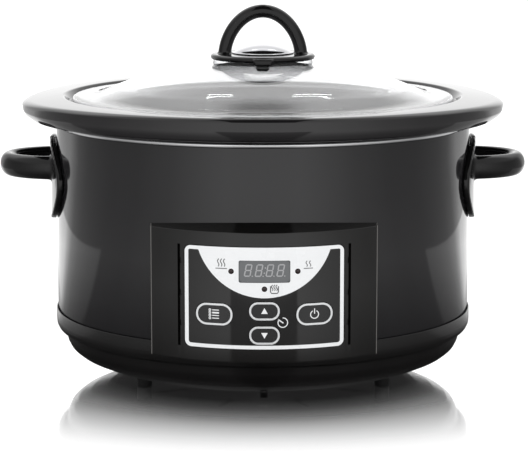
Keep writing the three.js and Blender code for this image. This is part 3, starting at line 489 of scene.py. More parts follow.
print("camera, floor and light")
view = {"lens": 152.4, "back": -1.5633, "side": -0.0106, "height": 0.3643, "pitch": -9.5, "yaw": -0.42}
camera = bpy.data.objects.new("camera", bpy.data.cameras.new("camera"))
camera.data.lens = view["lens"]
camera.data.sensor_width = 36
camera.location = (view["side"], view["back"], view["height"])
camera.rotation_euler = (math.radians(90 + view["pitch"]), 0, math.radians(view["yaw"]))
scene.collection.objects.link(camera)
scene.camera = camera
scene.view_settings.view_transform = "Standard"
scene.view_settings.look = "None"

studio = {"glow": 1.0, "overhead": 0.85, "backTop": 1.05, "gapHalf": 0.215}
# how bright the surroundings look in a reflection, from straight behind at 0 to straight in front at 1
aroundStops = [(0.0, 1.45), (0.02, 1.25), (0.07, 0.80), (0.17, 1.0), (0.245, 0.52), (0.32, 0.42), (0.50, 0.38),
               (0.66, 0.44), (0.82, 0.66), (0.91, 0.92), (0.97, 1.12), (1.0, 1.10)]


def studioWorld():
    world = bpy.data.worlds.new("studio")
    scene.world = world
    shade = Shading(world)
    ease, times = shade.ease, shade.times
    x, y, z, flat, share = shade.direction(shade.add("TexCoord").outputs["Generated"])
    across = shade.maths("ABSOLUTE", x)
    level = shade.blend(ease(z, 0.32, 0.62), shade.ramp(share, aroundStops), studio["overhead"])
    topLight = times(ease(z, 0.40, 0.80), ease(y, 0.05, 0.42), studio["backTop"])
    level = shade.maths("ADD", level, topLight)
    boom = times(ease(across, 0.15, 0.03), ease(z, 0.66, 0.80))
    level = shade.dim(level, boom, 0.72)
    # the gap between the two softboxes overhead and in front
    gap = times(ease(across, studio["gapHalf"] + 0.012, studio["gapHalf"]), ease(z, 0.46, 0.54),
                ease(y, 0.18, 0.08))
    level = shade.dim(level, gap, 0.98)
    glossy = shade.add("LightPath").outputs["Is Glossy Ray"]
    shade.fill("Background", {"Strength": shade.blend(glossy, studio["glow"], level), "Color": (1, 1, 1, 1)})


studioWorld()


def stripLight(name, start, end, aim, thick, power):
    lamp = bpy.data.lights.new(name, "AREA")
    lamp.shape = "RECTANGLE"
    start, end, aim = Vector(start), Vector(end), Vector(aim)
    lamp.size, lamp.size_y = (end - start).length, thick
    lamp.energy = power
    holder = bpy.data.objects.new(name, lamp)
    holder.location = (start + end) / 2
    back = (holder.location - aim).normalized()
    up = back.cross((end - start).normalized()).normalized()
    holder.rotation_mode = "QUATERNION"
    holder.rotation_quaternion = Matrix((up.cross(back), up, back)).transposed().to_quaternion()
    scene.collection.objects.link(holder)


# thin strips behind and above, which show as two short streaks on the dome of the lid
stripLight("lidStreakLeft", (-0.222, 1.142, 1.214), (-0.118, 1.103, 1.266), (-0.029, -0.090, 0.207),
           thick=0.008, power=0.03)
stripLight("lidStreakRight", (0.134, 1.103, 1.265), (0.291, 1.166, 1.172), (0.033, -0.089, 0.207),
           thick=0.008, power=0.045)


def studioFloor():
    bm = bmesh.new()
    bmesh.ops.create_grid(bm, x_segments=8, y_segments=8, size=9000)
    floor = makePiece("floor", bm, None, None, merge=0)
    look = bpy.data.materials.new("polishedWhiteFloor")
    shade = Shading(look)
    ease, times = shade.ease, shade.times
    place = shade.add("TexCoord").outputs["Object"]
    speckle = shade.add("TexNoise", {"Scale": 3, "Vector": place}).outputs["Fac"]
    white = shade.fill("Principled BSDF", {
        "Roughness": 0.9, "Specular IOR Level": 0.0, "Emission Strength": 0.32, "Emission Color": (1, 1, 1, 1),
        "Base Color": shade.tint(speckle, (0.90, 0.90, 0.90, 1), (0.92, 0.92, 0.92, 1))})
    # polished near the pot, fading to matt further out
    polish = shade.ramp(shade.distance(place, (0.86, 1.0, 1.0)), [
        (0.0, 0.985), (0.095, 0.975), (0.118, 0.90), (0.144, 0.73), (0.168, 0.50), (0.195, 0.26), (0.217, 0.10),
        (0.240, 0.0)], 0.3)
    mirror = shade.add("BsdfGlossy", {"Roughness": 0.035, "Color": (0.97, 0.97, 0.97, 1)})
    # what the glossy pieces see of the floor: painted shade, dark close by under the pot, lighter further out
    x, y, z, flat, share = shade.direction(place)
    near = shade.ramp(flat, [(0.0, 0.03), (0.15, 0.06), (0.22, 0.22), (0.30, 0.50), (0.42, 0.80), (0.56, 1.0)])
    across = shade.maths("ABSOLUTE", x)
    # painted shade: the dark track of the camera stand runs out from the pot
    slant = shade.maths("ADD", across, times(y, 0.42))
    near = shade.dim(near, times(ease(slant, -0.035, -0.050), ease(y, -0.62, -0.56)), 0.6)
    # and painted light: a brighter patch, standing for a light board, lies at each side, level with the pot and
    # behind
    board = times(ease(y, -0.01, 0.01), ease(across, 0.62, 0.60), ease(across, 0.18, 0.24))
    near = shade.dim(near, board, -0.9)
    seen = shade.add("Emission", {"Strength": times(near, shade.ramp(share, aroundStops))})
    glossy = shade.add("LightPath").outputs["Is Glossy Ray"]
    matt = shade.add("MixShader", {0: glossy, 1: white.outputs[0], 2: seen.outputs[0]})
    polish = times(polish, shade.maths("SUBTRACT", 1.0, glossy))
    mix = shade.add("MixShader", {0: polish, 1: matt.outputs[0], 2: mirror.outputs[0]})
    shade.fill("Material Output", {"Surface": mix.outputs[0]})
    floor.data.materials.append(look)


studioFloor()


# ---------- outer case ----------

print("shell, trim ring and heating well")
case = {"radius": 145.0, "wall": 0.9, "low": 44.0, "high": 178.1, "windowHalf": 58.0, "windowLow": 52.4,
        "windowHigh": 113.3, "turns": 256, "edge": 0.3, "screwHole": 2.2, "screwApart": 29.0,
        "screwLevel": 149.5}


def outerShell():
    inner, outer = case["radius"] - case["wall"], case["radius"]
    lip = fillet([(inner, case["low"]), (outer, case["low"]), (outer, case["high"]), (inner, case["high"])],
                 case["edge"], 2)
    shell = rawPiece("shellSheet", spinSolid(lip, case["turns"]))
    half = case["windowHalf"]
    window = boxSolid(-half, half, -200, -100, case["windowLow"], case["windowHigh"])
    holes = []
    for side in (-1, 1):
        for y in (-case["screwApart"], case["screwApart"]):
            hole = turn(rodSolid(case["screwHole"], 120, 160, 20), side * 90, "Y")
            holes.append(move(hole, 0, y, case["screwLevel"]))
    cut(shell, window, *holes)
    wear(shell, "shell_enamel", "housing", ["outer_shell"], 40)


outerShell()

trim = {"top": 181.4, "outer": 146.7, "inner": 143.8, "land": 141.5, "height": 3.0}


def trimRing():
    top, outer, inner = trim["top"], trim["outer"], trim["inner"]
    low = top - trim["height"]
    profile = fillet([(trim["land"], top - 1.6, 0.3), (inner, top - 1.6, 0.2), (inner, low, 0.3),
                      (outer - 0.6, low, 0.8), (outer, top - 1.5, 1.2), (outer - 0.7, top, 1.1),
                      (trim["land"], top, 0.5)], 0.3, 5)
    makePiece("trimRing", spinSolid(profile, 256), looks["bright_trim"], "housing", ["trim_ring"])


trimRing()

well = {"inner": 127.5, "wall": 1.0, "bottom": 58.0, "lip": 179.5, "lipOuter": 143.0, "corner": 10.0,
        "sensorBack": 45.0, "sensorHole": 12.0}


def heatingWell():
    inner, wall = well["inner"], well["wall"]
    outer = inner + wall
    low, lip, lipOuter = well["bottom"], well["lip"], well["lipOuter"]
    profile = fillet([(0, low, 0), (outer, low, well["corner"]), (outer, lip - wall, 0.8),
                      (lipOuter, lip - wall, 0.3), (lipOuter, lip, 0.3), (inner, lip, 1.4),
                      (inner, low + wall, well["corner"] - 0.6), (60, low + wall, 6), (56, low + wall + 0.7, 3),
                      (30, low + wall + 0.7, 3), (26, low + wall, 3), (0, low + wall, 0)], 0, 8, closed=False)
    pan = rawPiece("wellPan", spinSolid(profile, 192, closed=False))
    cut(pan, move(rodSolid(well["sensorHole"], low - 5, low + 8, 48), 0, well["sensorBack"], 0))
    wear(pan, "well_metal", "housing", ["heating_well"], 30)


heatingWell()

sensor = {"radius": 11.0, "low": 54.0, "high": 60.2, "back": 45.0}
disc = rodSolid(sensor["radius"], sensor["low"], sensor["high"], 64, 0.8)
makePiece("temperatureDisc", move(disc, 0, sensor["back"]), looks["well_metal"], "housing",
          ["temperature_sensor"])


# ---------- base, feet and cord inlet ----------

print("base, feet and cord inlet")
base = {"foot": 9.5, "top": 48.7, "turns": 256, "vents": 8, "ventOut": 68.7, "inlet": 24.0, "rib": 97.3,
        "footAngles": (-147.7, -32.3, 90)}


def baseHousing():
    low, top = base["foot"], base["top"]
    outside = [(0, low, 0), (104.0, low, 4), (110.0, low + 0.8, 4), (122.2, low + 4.5, 6), (131.2, low + 8.5, 8),
               (136.2, low + 12.5, 8), (138.7, low + 17.5, 8), (139.3, low + 23.5, 1.2), (142.0, low + 24.5, 3),
               (144.8, low + 26.3, 3), (146.0, low + 29.0, 3), (146.2, low + 31.5, 3), (146.2, top, 0.5)]
    inside = [(145.5, top, 0.2), (145.5, 43.7, 0.2), (142.9, 43.7, 0.3), (142.9, low + 31, 1),
              (140.2, low + 28, 1), (136.6, low + 26, 1), (136.0, low + 18, 3), (133.6, low + 14, 3),
              (129.2, low + 10.8, 3), (121.2, low + 7, 3), (109.6, low + 3.3, 3), (103.6, low + 2.5, 2),
              (0, low + 2.5, 0)]
    profile = fillet(outside + inside, 0.5, 4, closed=False)
    tray = rawPiece("baseTray", spinSolid(profile, base["turns"], closed=False))
    pocket = rodSolid(6.5, 0, low + 4.9, 40)
    through = rodSolid(2.8, 0, low + 12, 24)
    cutters = [pocket, through]
    for k in range(base["vents"]):
        slot = turn(flatSolid([roundRect(0, 0, 22, 4, 1.95)], -6, 6), 90, "X")
        cutters.append(turn(move(slot, base["ventOut"], 0, low + 1), (k + 0.5) * 360 / base["vents"]))
    for x, y in footSpots():
        cutters.append(move(rodSolid(2.8, 0, low + 5.5, 20), x, y))
    gland = turn(rodSolid(5.3, 110, 160, 32), -90, "X")
    cutters.append(move(gland, 0, 0, base["inlet"]))
    cut(tray, *cutters)
    wear(tray, "base_plastic", "housing", ["base_housing"], 32)
    rib = boxSolid(-2.5, 2.5, -base["rib"] - 6, -base["rib"] + 6, 3.9, low)
    bmesh.ops.bevel(rib, geom=rib.edges[:], offset=0.8, offset_type="OFFSET", segments=3, profile=0.5,
                    affect="EDGES", material=-1)
    makePiece("baseSkirtRib", rib, looks["base_plastic"], "housing")


def footSpots():
    return [(base["rib"] * math.cos(math.radians(a)), base["rib"] * math.sin(math.radians(a)))
            for a in base["footAngles"]]


baseHousing()

foot = {"radius": 5.35, "top": 9.2, "peg": 2.5, "pegTop": 13.6}


def rubberFoot(name, node, x, y):
    profile = fillet([(0, 0.7, 0), (2.6, 0.7, 0.4), (3.2, 0, 0.3), (foot["radius"] - 0.3, 0, 1.0),
                      (foot["radius"], foot["top"], 0.5), (foot["peg"], foot["top"], 0.2),
                      (foot["peg"], foot["pegTop"], 0.7), (0, foot["pegTop"], 0)], 0, 4, closed=False)
    makePiece(name, move(spinSolid(profile, 40, closed=False), x, y), looks["foot_rubber"], "housing",
              [node])


for (place, nodeName), (x, y) in zip((("footLeft", "foot_front_left"), ("footRight", "foot_front_right"),
                                      ("footRear", "foot_rear")), footSpots()):
    rubberFoot(place, nodeName, x, y)

inlet = {"bore": 3.4, "seat": 140.0}


def cordGland():
    seat, bore = inlet["seat"], inlet["bore"]
    profile = fillet([(bore, seat - 16), (4.4, seat - 16), (5, seat - 13), (5, seat, 0.1), (8, seat, 0.3),
                      (8, seat + 1.6, 0.6), (7, seat + 2.6, 1), (5.4, seat + 3, 0.6), (4.6, seat + 8, 0.5),
                      (bore, seat + 8, 0.3)], 0.3, 4)
    makePiece("cordInlet", move(turn(spinSolid(profile, 48), -90, "X"), 0, 0, base["inlet"]),
              looks["base_plastic"], "housing", ["cord_gland"])


cordGland()


# ---------- side handles ----------

print("side handles")
grip = {"reach": 40.0, "span": 58.0, "thick": 12.4, "tall": 16.5, "level": 149.5, "plateLevel": 140.3,
        "plateWide": 100.0, "plateTall": 59.0, "plateThick": 4.1, "power": 0.97, "steps": 48, "voxel": 1.0,
        "clear": 0.3}


def gripLoop():
    # the section is carried round half a rounded loop, level with the grip
    start = case["radius"] - 6
    reach = case["radius"] + grip["reach"] - grip["thick"] / 2 - start
    outline = [(grip["thick"] / 2 * math.cos(math.pi * k / 14), grip["tall"] / 2 * math.sin(math.pi * k / 14))
               for k in range(28)]
    middle = []
    for k in range(grip["steps"] + 1):
        angle = (k / grip["steps"] - 0.5) * math.pi
        along = start + reach * max(0.0, math.cos(angle)) ** grip["power"]
        across = grip["span"] / 2 * math.copysign(abs(math.sin(angle)) ** grip["power"], math.sin(angle))
        middle.append(Vector((along, across, grip["level"])))
    return sweepSolid(outline, middle, Vector((0, 0, 1)))


def sideHandle(name, node, side):
    inner = case["radius"] + grip["clear"]
    outer = inner + grip["plateThick"]
    wide, tall = grip["plateWide"] / 2, grip["plateTall"] / 2
    oval = [(wide * math.cos(a), tall * math.sin(a) * abs(math.sin(a)) ** 0.2)
            for a in [2 * math.pi * (k + 0.5) / 96 for k in range(96)]]
    disc = rawPiece("ovalDisc", move(turn(flatSolid([oval], 100, 180), 90), 0, 0, grip["plateLevel"]))
    cut(disc, spinSolid([(inner, 90), (outer, 90), (outer, 200), (inner, 200)], 256),
        keep="INTERSECT")
    handle = cut(disc, gripLoop(), keep="UNION")
    cut(handle, rodSolid(inner, 60, 230, 256))
    evenSkin(handle, grip["voxel"], 6)
    bm = bmesh.new()
    bm.from_mesh(handle.data)
    closest = (inner - 0.05) * mm
    for corner in bm.verts:  # the back stays clear of the shell
        flat = math.hypot(corner.co.x, corner.co.y)
        if flat < closest:
            corner.co.x *= closest / flat
            corner.co.y *= closest / flat
    if side < 0:
        turn(bm, 180)
    bm.to_mesh(handle.data)
    bm.free()
    handle.name = name
    wear(handle, "handle_plastic", "housing", [node], 60)


sideHandle("handleRight", "handle_right", 1)
sideHandle("handleLeft", "handle_left", -1)


# ---------- control fascia ----------

print("control fascia")
fascia = {"half": 74.2, "faceRadius": 111.0, "centreY": -47.0, "low": 40.0, "high": 125.4, "rise": 4.8,
          "bulge": 13.0, "back": 92, "round": 0.7, "slotX": 55.2, "slotLow": 49.4, "slotHigh": 116.3,
          "step": 49.0}
panel = {"half": 51.6, "low": 49.4, "high": 116.3, "corner": 4.0, "proud": 0.3, "thick": 0.9,
         "windowWide": 32.6, "windowTall": 13.9, "windowLevel": 100.4}
keyPlaces = {"mode": (-32.3, 72.0, 23.5, 14.2), "up": (0.0, 74.7, 19.6, 11.8), "down": (0.0, 58.8, 19.6, 11.8),
             "power": (32.3, 72.0, 23.5, 14.2)}
lampPlaces = {"high": (-21.4, 100.4), "low": (21.4, 100.4), "warm": (0.0, 89.1)}


def bend(bm):
    # a flat sheet at y = -(faceRadius + 47 + depth) is wrapped round the face
    front = fascia["faceRadius"] - fascia["centreY"]
    for corner in bm.verts:
        radius = fascia["faceRadius"] + (-corner.co.y - front)
        corner.co.y = fascia["centreY"] - math.sqrt(radius ** 2 - corner.co.x ** 2)
    return bm


def onFace(outlines, low, high, pitch=2.5):
    # a sheet between two heights above the face
    front = fascia["faceRadius"] - fascia["centreY"]
    return bend(sliceSheet(flatSolid(outlines, front + low, front + high), pitch))


def keyOutline(x, z, width, height, margin=0.0):
    return roundRect(x, z, width + 2 * margin, height + 2 * margin, (height + 2 * margin) * 0.48, 12)


def controlFascia():
    faceR, centreY = fascia["faceRadius"], fascia["centreY"]
    slope = fascia["rise"] / fascia["bulge"]
    half = math.degrees(math.asin(fascia["half"] / faceR)) + 4
    back = fascia["back"]
    section = fillet([(back, fascia["low"], 0), (faceR, fascia["low"], 1.2),
                      (faceR, fascia["high"], fascia["round"]),
                      (back, fascia["high"] + slope * (faceR - back), 0)], 0, 5)
    bm = bmesh.new()
    corners = [bm.verts.new((r, 0, z)) for r, z in section]
    face = bm.faces.new(corners)
    bmesh.ops.spin(bm, geom=[face], cent=(0, 0, 0), axis=(0, 0, 1), angle=math.radians(2 * half), steps=120)
    move(turn(bm, -90 - half), 0, centreY, 0)
    for side in (-1, 1):
        cutResult = bmesh.ops.bisect_plane(bm, geom=bm.verts[:] + bm.edges[:] + bm.faces[:], dist=0.0005,
                                           plane_co=(side * fascia["half"], 0, 0), plane_no=(side, 0, 0),
                                           clear_outer=True)
        rim = [e for e in cutResult["geom_cut"] if isinstance(e, bmesh.types.BMEdge)]
        bmesh.ops.edgeloop_fill(bm, edges=rim)
        bmesh.ops.bevel(bm, geom=rim, offset=1.0, offset_type="OFFSET", segments=3, profile=0.5,
                        affect="EDGES", material=-1, clamp_overlap=True)
    block = rawPiece("fasciaBlock", bm)
    middle, tall = (panel["low"] + panel["high"]) / 2, panel["high"] - panel["low"]
    pocket = roundRect(0, middle, 2 * panel["half"] + 0.6, tall + 0.6, panel["corner"] + 0.3, 10)
    cutters = [rodSolid(case["radius"] + 0.3, fascia["step"], 160, 256), rodSolid(146.5, 20, fascia["step"], 256),
               onFace([pocket], -0.9, 6), onFace([roundRect(0, 84, 112, 68, 2)], -30, -2.5)]
    for x, z, width, height in keyPlaces.values():
        cutters.append(flatSolid([keyOutline(x, z, width, height, 0.4)], 120, 180))
    pane = roundRect(0, panel["windowLevel"], panel["windowWide"] + 0.6, panel["windowTall"] + 0.6, 1.2)
    cutters.append(flatSolid([pane], 120, 180))
    for x, z in lampPlaces.values():
        cutters.append(flatSolid([circle(x, z, 1.9)], 120, 180))
    for side in (-1, 1):
        x = side * fascia["slotX"]
        inward = [(fascia["slotLow"], 0.85)]
        for z in (64.6, 84.5, 105.5):
            inward += [(z - 2.0, 0.85), (z - 1.2, 2.1), (z + 1.2, 2.1), (z + 2.0, 0.85)]
        groove = [(x - side * w, z) for z, w in inward + [(fascia["slotHigh"], 0.85)]]
        groove += [(x + side * 0.85, fascia["slotHigh"]), (x + side * 0.85, fascia["slotLow"])]
        cutters.append(onFace([groove], -1.9, 5))
    cut(block, *cutters)
    block.name = "controlFascia"
    wear(block, "fascia_plastic", "housing", ["control_fascia"], 28)


controlFascia()

print("panel, window, lamps and printing")


def panelHoles(margin=0.4):
    holes = [keyOutline(*place, margin) for place in keyPlaces.values()]
    holes.append(roundRect(0, panel["windowLevel"], panel["windowWide"] + 0.5, panel["windowTall"] + 0.5, 1.2))
    holes += [circle(x, z, 1.8) for x, z in lampPlaces.values()]
    return holes


def panelOverlay():
    middle = (panel["low"] + panel["high"]) / 2
    edge = roundRect(0, middle, 2 * panel["half"], panel["high"] - panel["low"], panel["corner"], 10)
    sheet = onFace([edge, *panelHoles()], -0.6, panel["proud"])
    makePiece("panelSheet", sheet, overlayBlack, "housing", ["panel_overlay"], 50)


panelOverlay()

printing = {"line": 2.4, "crescentTop": 113.9, "crescentHalf": 42.5, "crescentFoot": 83.2, "lift": 0.12}


def panelPrint():
    # the pale frame and the pale crescent are one printed area
    low, high = panel["low"] + 0.25, panel["high"] - 0.25
    half, line = panel["half"] - 0.25, printing["line"]
    middle = (low + high) / 2
    outer = roundRect(0, middle, 2 * half, high - low, panel["corner"], 10)
    a, drop = printing["crescentHalf"], printing["crescentTop"] - printing["crescentFoot"]
    radius = (a * a + drop * drop) / (2 * drop)
    centre = printing["crescentFoot"] + radius
    halfIn, lowIn, topIn = half - line, low + line, high - line
    sweep = math.degrees(math.asin(min(1, (centre - topIn) / radius)))
    bow = arcLine(0, centre, radius, -sweep, -180 + sweep, 60)
    reach = bow[0][0]
    inner = fillet([(-halfIn, lowIn, 1.6), (halfIn, lowIn, 1.6), (halfIn, topIn, 1.0), (reach + 0.01, topIn, 0)]
                   + [(x, z, 0) for x, z in bow[1:-1]] + [(-reach, topIn, 0), (-halfIn, topIn, 1.0)], 1.6, 6)
    holes = [roundRect(0, panel["windowLevel"], panel["windowWide"] + 0.5, panel["windowTall"] + 0.5, 1.2)]
    holes += [circle(x, z, 1.8) for x, z in lampPlaces.values()]
    ink = onFace([outer, inner, *holes], panel["proud"] - 0.05, panel["proud"] + printing["lift"])
    makePiece("panelPaleInk", ink, looks["panel_print"], "housing", (), 50)


panelPrint()


def wavyLine(x, z, tall, width):
    points = [(x + 0.45 * math.sin(k / 12 * 2 * math.pi * 1.1), z - tall / 2 + tall * k / 12) for k in range(13)]
    return stroke(points, width)


def panelIcons():
    dark = []
    for dx in (-1.9, 0.0, 1.9):
        dark.append(wavyLine(-27.7 + dx, 105.9, 5.0, 0.55))
    dark.append(stroke([(-31.4, 102.1), (-24.0, 102.1)], 0.5))
    for dx in (-1.1, 1.1):
        dark.append(wavyLine(28.2 + dx, 105.1, 3.8, 0.5))
    dark.append(stroke([(25.2, 102.1), (31.2, 102.1)], 0.5))
    bowl = [(3.9, 91.0), (3.9, 87.2), (4.6, 86.3), (8.2, 86.3), (8.9, 87.2), (8.9, 91.0)]
    dark.append(stroke(bowl, 0.65))
    for dx in (-1.4, 0.0, 1.4):
        dark.append(wavyLine(6.4 + dx, 90.0, 3.8, 0.55))
    ink = onFace(dark, panel["proud"] + printing["lift"] - 0.03, panel["proud"] + printing["lift"] + 0.05)
    makePiece("panelDarkIcons", ink, inkGrey, "housing", (), 50)
    cx, cz, r = 11.8, 67.1, 3.1
    pale = [stroke(arcLine(cx, cz, r, 92, -215, 30), 0.6),
            stroke([(cx + 0.4, cz - 0.3), (cx - 2.9, cz + 2.1)], 0.7)]
    ink = onFace(pale, panel["proud"] - 0.03, panel["proud"] + 0.06)
    makePiece("panelPaleIcons", ink, looks["panel_print"], "housing", (), 50)


panelIcons()


def displayWindow():
    pane = onFace([roundRect(0, panel["windowLevel"], panel["windowWide"], panel["windowTall"], 1.8)], -2.2, 0.1)
    makePiece("displayPane", pane, looks["window_plastic"], "housing", ["display_window"], 50)
    digits = {"pitch": 6.95, "tall": 7.4, "wide": 3.6, "stroke": 0.8, "lean": 0.19}
    bars = []
    middle = panel["windowLevel"] + 0.8
    for k in range(4):
        cx = (k - 1.5) * digits["pitch"]
        w, h = digits["wide"] / 2, digits["tall"] / 2
        ends = [((-w, h), (w, h)), ((-w, 0), (w, 0)), ((-w, -h), (w, -h)), ((-w, h), (-w, 0)), ((w, h), (w, 0)),
                ((-w, 0), (-w, -h)), ((w, 0), (w, -h))]
        for (x0, z0), (x1, z1) in ends:
            a, b = Vector((x0, z0)), Vector((x1, z1))
            along = (b - a).normalized() * 0.45
            a, b = a + along, b - along
            side = along.orthogonal().normalized() * digits["stroke"] / 2
            tip = along.normalized() * digits["stroke"] / 2
            shape = [a - tip, a + side, b + side, b + tip, b - side, a - side]
            bars.append([(cx + p.x + p.y * digits["lean"], middle + p.y) for p in shape])
        bars.append(circle(cx + w + 0.8, middle - h, 0.42, 12))
    for dz in (-1.7, 1.7):
        bars.append(circle(dz * digits["lean"] + 0.25, middle + dz, 0.45, 12))
    makePiece("displayDigits", onFace(bars, 0.06, 0.16), digitGrey, "housing", (), 50)


displayWindow()


def faceDepth(x):
    return -fascia["centreY"] + math.sqrt(fascia["faceRadius"] ** 2 - x * x)


def lampLens(name, x, z):
    tip = faceDepth(x) + 0.45
    back = tip - 17
    profile = [(0, back), (2.2, back), (2.2, tip - 4.4), (1.6, tip - 4.4), (1.6, tip - 0.75)]
    profile += [(1.6 * math.cos(a), tip - 0.75 + 0.75 * math.sin(a)) for a in
                [math.pi / 2 * k / 6 for k in range(1, 6)]] + [(0, tip)]
    makePiece("lamp" + name.capitalize(), move(turn(spinSolid(profile, 32, closed=False), 90, "X"), x, 0, z),
              looks["lamp_plastic"], "housing", ["lamp_" + name])


for lampName, (x, z) in lampPlaces.items():
    lampLens(lampName, x, z)


# ---------- keys ----------

print("keys")
keys = {"proud": 1.0, "ring": 1.25, "dish": 0.6, "lip": 1.1, "stem": 1.75}


def keySymbols(name, x, z):
    if name == "up":
        return [[(x - 2.1, z - 1.7), (x + 2.1, z - 1.7), (x, z + 2.1)]]
    if name == "down":
        return [[(x - 2.1, z + 1.7), (x + 2.1, z + 1.7), (x, z - 2.1)]]
    if name == "power":
        return [stroke(arcLine(x, z - 0.3, 2.6, 62, -242, 30), 0.62), stroke([(x, z + 0.1), (x, z + 3.6)], 0.62)]
    rows = []
    for k in range(4):
        level = z + 2.7 - 1.8 * k
        rows += [circle(x - 2.8, level, 0.85, 16), circle(x - 2.8, level, 0.38, 12)]
        rows.append(roundRect(x + 0.9, level, 4.4, 1.0 if k == 1 else 0.6, 0.2, 2))
    return rows


def pushKey(name, x, z, width, height):
    body, node = "button_" + name, "button_" + name
    cap = onFace([keyOutline(x, z, width, height)], -3.2, keys["proud"] - keys["dish"])
    lip = onFace([keyOutline(x, z, width, height, keys["lip"])], -4.4, -2.85)
    stem = move(turn(rodSolid(keys["stem"], 143.2, faceDepth(x) - 3.2, 24), 90, "X"), x, 0, z)
    makePiece("key" + name.capitalize(), joinMeshes(cap, lip, stem), looks["key_plastic"], body,
              [node], 50)
    ring = onFace([keyOutline(x, z, width, height), keyOutline(x, z, width, height, -keys["ring"])], -0.2,
                  keys["proud"])
    rim = [e for e in ring.edges if e.is_manifold and e.calc_face_angle(0) > 1.2
           and all(v.co.y < fascia["centreY"] - math.sqrt(max((fascia["faceRadius"] + 0.7) ** 2 - v.co.x ** 2, 0))
                   for v in e.verts)]
    bmesh.ops.bevel(ring, geom=rim, offset=0.3, offset_type="OFFSET", segments=2, profile=0.5, affect="EDGES",
                    material=-1, clamp_overlap=True)
    makePiece("keyRing" + name.capitalize(), ring, ringSilver, body, (), 40)
    mark = onFace(keySymbols(name, x, z), keys["proud"] - keys["dish"] - 0.03, keys["proud"] - keys["dish"] + 0.07)
    makePiece("keyMark" + name.capitalize(), mark, looks["panel_print"], body, (), 50)


for keyName, place in keyPlaces.items():
    pushKey(keyName, *place)


# ---------- crock ----------

print("crock")
crock = {"inner": 117.5, "outer": 124.5, "bottom": 60.5, "floor": 67.5, "seat": 182.3, "rimTop": 198.0,
         "rim": 154.0, "gripOut": 14.6, "gripDip": 2.8, "ledge": 193.0, "ledgeRadius": 135.5, "turns": 240}


def shapeRim(bm):
    start = crock["ledgeRadius"] + 2
    for corner in bm.verts:
        x, y, z = corner.co
        radius = math.hypot(x, y)
        if radius <= start or z < crock["seat"] - 0.1:
            continue
        outward = min(1.0, (radius - start) / (crock["rim"] - start))
        sideways = abs(x) / radius
        raised = (z - crock["seat"]) / (crock["rimTop"] - crock["seat"])
        corner.co.x = x * (1 + outward * crock["gripOut"] / crock["rim"])
        corner.co.z = z - crock["gripDip"] * outward * raised * sideways ** 6


def stoneware():
    rim, top, seat = crock["rim"], crock["rimTop"], crock["seat"]
    inner, outer, ledge = crock["inner"], crock["outer"], crock["ledge"]
    profile = fillet([(0, crock["bottom"] + 1, 0), (96, crock["bottom"] + 1, 2), (99, crock["bottom"], 2),
                      (outer, crock["bottom"], 16), (outer, seat - 1, 2), (rim - 3.2, seat, 3.6),
                      (rim - 0.2, seat + 6, 12), (rim, top, 3.4), (crock["ledgeRadius"] + 3, top + 0.2, 1.2),
                      (crock["ledgeRadius"] + 0.6, ledge, 1.0), (inner + 7, ledge, 3), (inner, ledge - 6, 6),
                      (inner, crock["floor"], 12), (0, crock["floor"], 0)], 2, 8, closed=False)
    bm = spinSolid(profile, crock["turns"], closed=False)
    shapeRim(bm)
    makePiece("stonewareCrock", bm, looks["crock_glaze"], "crock", ["crock"], 40)


stoneware()


# ---------- lid ----------

print("lid")
lid = {"radius": 133.5, "bottom": 193.3, "glass": 4.0, "flangeTop": 197.3, "domeEdge": 119.0, "domeRadius": 300.0,
       "hole": 3.0, "plate": 37.0, "plateLow": 222.8, "plateHigh": 226.5, "turns": 240}
lid["domeTop"] = lid["flangeTop"] + lid["domeRadius"] - math.sqrt(lid["domeRadius"] ** 2 - lid["domeEdge"] ** 2)


def domeLine(radius, start, end, steps):
    centre = lid["domeTop"] - lid["domeRadius"]
    return [(start + (end - start) * k / steps,
             centre + math.sqrt(radius ** 2 - (start + (end - start) * k / steps) ** 2)) for k in range(steps + 1)]


def glassLid():
    low, top, edge = lid["bottom"], lid["flangeTop"], lid["radius"]
    under = domeLine(lid["domeRadius"] - lid["glass"], lid["hole"], lid["domeEdge"] - 1, 32)
    over = domeLine(lid["domeRadius"], lid["domeEdge"], lid["hole"], 32)
    # the dome runs out into the flat lip in one soft bend
    soft = 15.0
    under = [point for point in under if point[0] < lid["domeEdge"] - soft]
    over = [point for point in over if point[0] < lid["domeEdge"] - soft]
    rim = fillet([under[-1] + (0,), (lid["domeEdge"] - 0.6, low, 42), (edge, low, 1.95), (edge, top, 1.95),
                  (lid["domeEdge"] + 0.2, top, 38), over[0] + (0,)], 1, 10, closed=False)
    makePiece("glassLid", spinSolid(under[:-1] + rim + over[1:], lid["turns"]), looks["lid_glass"], "lid",
              ["lid_glass"], 60)


glassLid()


def lidSeal():
    low = domeLine(lid["domeRadius"] + 0.3, 6, 35, 8)
    profile = low + [(35, lid["plateLow"] - 0.3), (6, lid["plateLow"] - 0.3)]
    makePiece("lidSeal", spinSolid(profile, 96), looks["lid_seal"], "lid", ["lid_gasket"])


lidSeal()

knob = {"archHalf": 31.3, "archTop": 260.5, "section": 9.2, "depth": 11.0, "cap": 21.4, "capRise": 5.8,
        "voxel": 0.7, "steps": 56, "root": 1.5, "power": 1.12}


def archSweep():
    half = knob["archHalf"] - knob["section"] / 2
    rise = knob["archTop"] - knob["section"] / 2 - lid["plateHigh"]
    corners = roundRect(0, 0, knob["section"], knob["depth"], knob["section"] * 0.46, 6)
    middle = []
    for k in range(knob["steps"] + 1):
        angle = math.pi * k / knob["steps"]
        lift = (rise + knob["root"]) * max(0.0, math.sin(angle)) ** knob["power"]
        middle.append(Vector((-half * math.cos(angle), 0, lid["plateHigh"] - knob["root"] + lift)))
    return sweepSolid([(-u, v) for u, v in corners], middle, Vector((0, 1, 0)))


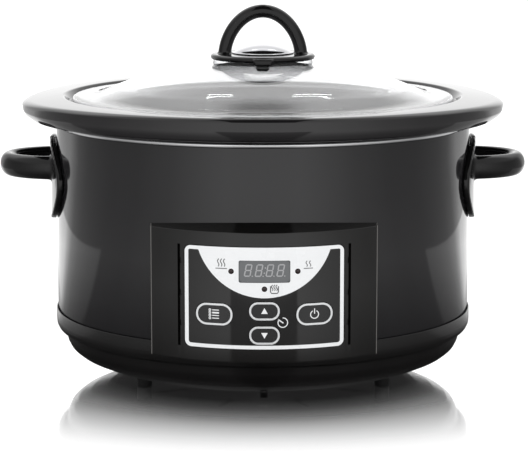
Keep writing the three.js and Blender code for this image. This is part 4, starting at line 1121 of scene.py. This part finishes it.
def lidHandle():
    low, high, edge = lid["plateLow"], lid["plateHigh"], lid["plate"]
    plate = fillet([(0, low, 0), (edge - 0.6, low, 0.6), (edge, high - 1.6, 1.2), (edge - 1.8, high, 2.0),
                    (0, high, 0)], 0, 5, closed=False)
    handle = rawPiece("handlePlate", spinSolid(plate, 128, closed=False))
    tab = flatSolid([fillet([(-7.6, 225.2), (-5.6, 220.8), (5.6, 220.8), (7.6, 225.2)], 0.6, 4)], 35.5, 39.0)
    cut(handle, archSweep(), tab, keep="UNION")
    evenSkin(handle, knob["voxel"], 4)
    handle.name = "lidHandle"
    wear(handle, "handle_plastic", "lid", ["lid_handle"], 60)


lidHandle()


def polishedCap():
    low, radius, rise = lid["plateHigh"] + 0.3, knob["cap"], knob["capRise"]
    curve = (radius ** 2 + rise ** 2) / (2 * rise)
    top = [(radius * (1 - k / 16), low + rise - curve + math.sqrt(curve ** 2 - (radius * (1 - k / 16)) ** 2))
           for k in range(1, 17)]
    profile = [(0, low), (radius - 0.3, low), (radius, low + 0.35), *top]
    makePiece("polishedCap", spinSolid(profile, 128, closed=False), chrome, "lid",
              ["lid_escutcheon"], 40)


polishedCap()

washer = {"radius": 8.0, "bore": 2.7, "thick": 1.4}


def lidFixings():
    top = lid["domeTop"] - lid["glass"] - 0.5
    ring = fillet([(washer["bore"], top - washer["thick"]), (washer["radius"], top - washer["thick"]),
                   (washer["radius"], top), (washer["bore"], top)], 0.25, 3)
    makePiece("lidWasher", spinSolid(ring, 64), looks["fastener_steel"], "lid", ["lid_washer"])
    seat = top - washer["thick"] - 0.3
    tip = lid["plateHigh"] - 1.1
    head = fillet([(0, seat - 3, 0), (3.4, seat - 3, 1.2), (4.8, seat - 1.6, 0.8), (4.8, seat, 0.2),
                   (2.4, seat, 0.1), (2.4, tip, 0.4), (0, tip, 0)], 0, 4, closed=False)
    screw = rawPiece("screwBlank", spinSolid(head, 48, closed=False))
    for k in range(2):
        blade = boxSolid(-2.4, 2.4, -0.45, 0.45, seat - 4, seat - 1.6)
        cut(screw, turn(blade, 90 * k))
    screw.name = "lidScrew"
    wear(screw, "fastener_steel", "lid", ["lid_screw"], 30)


lidFixings()
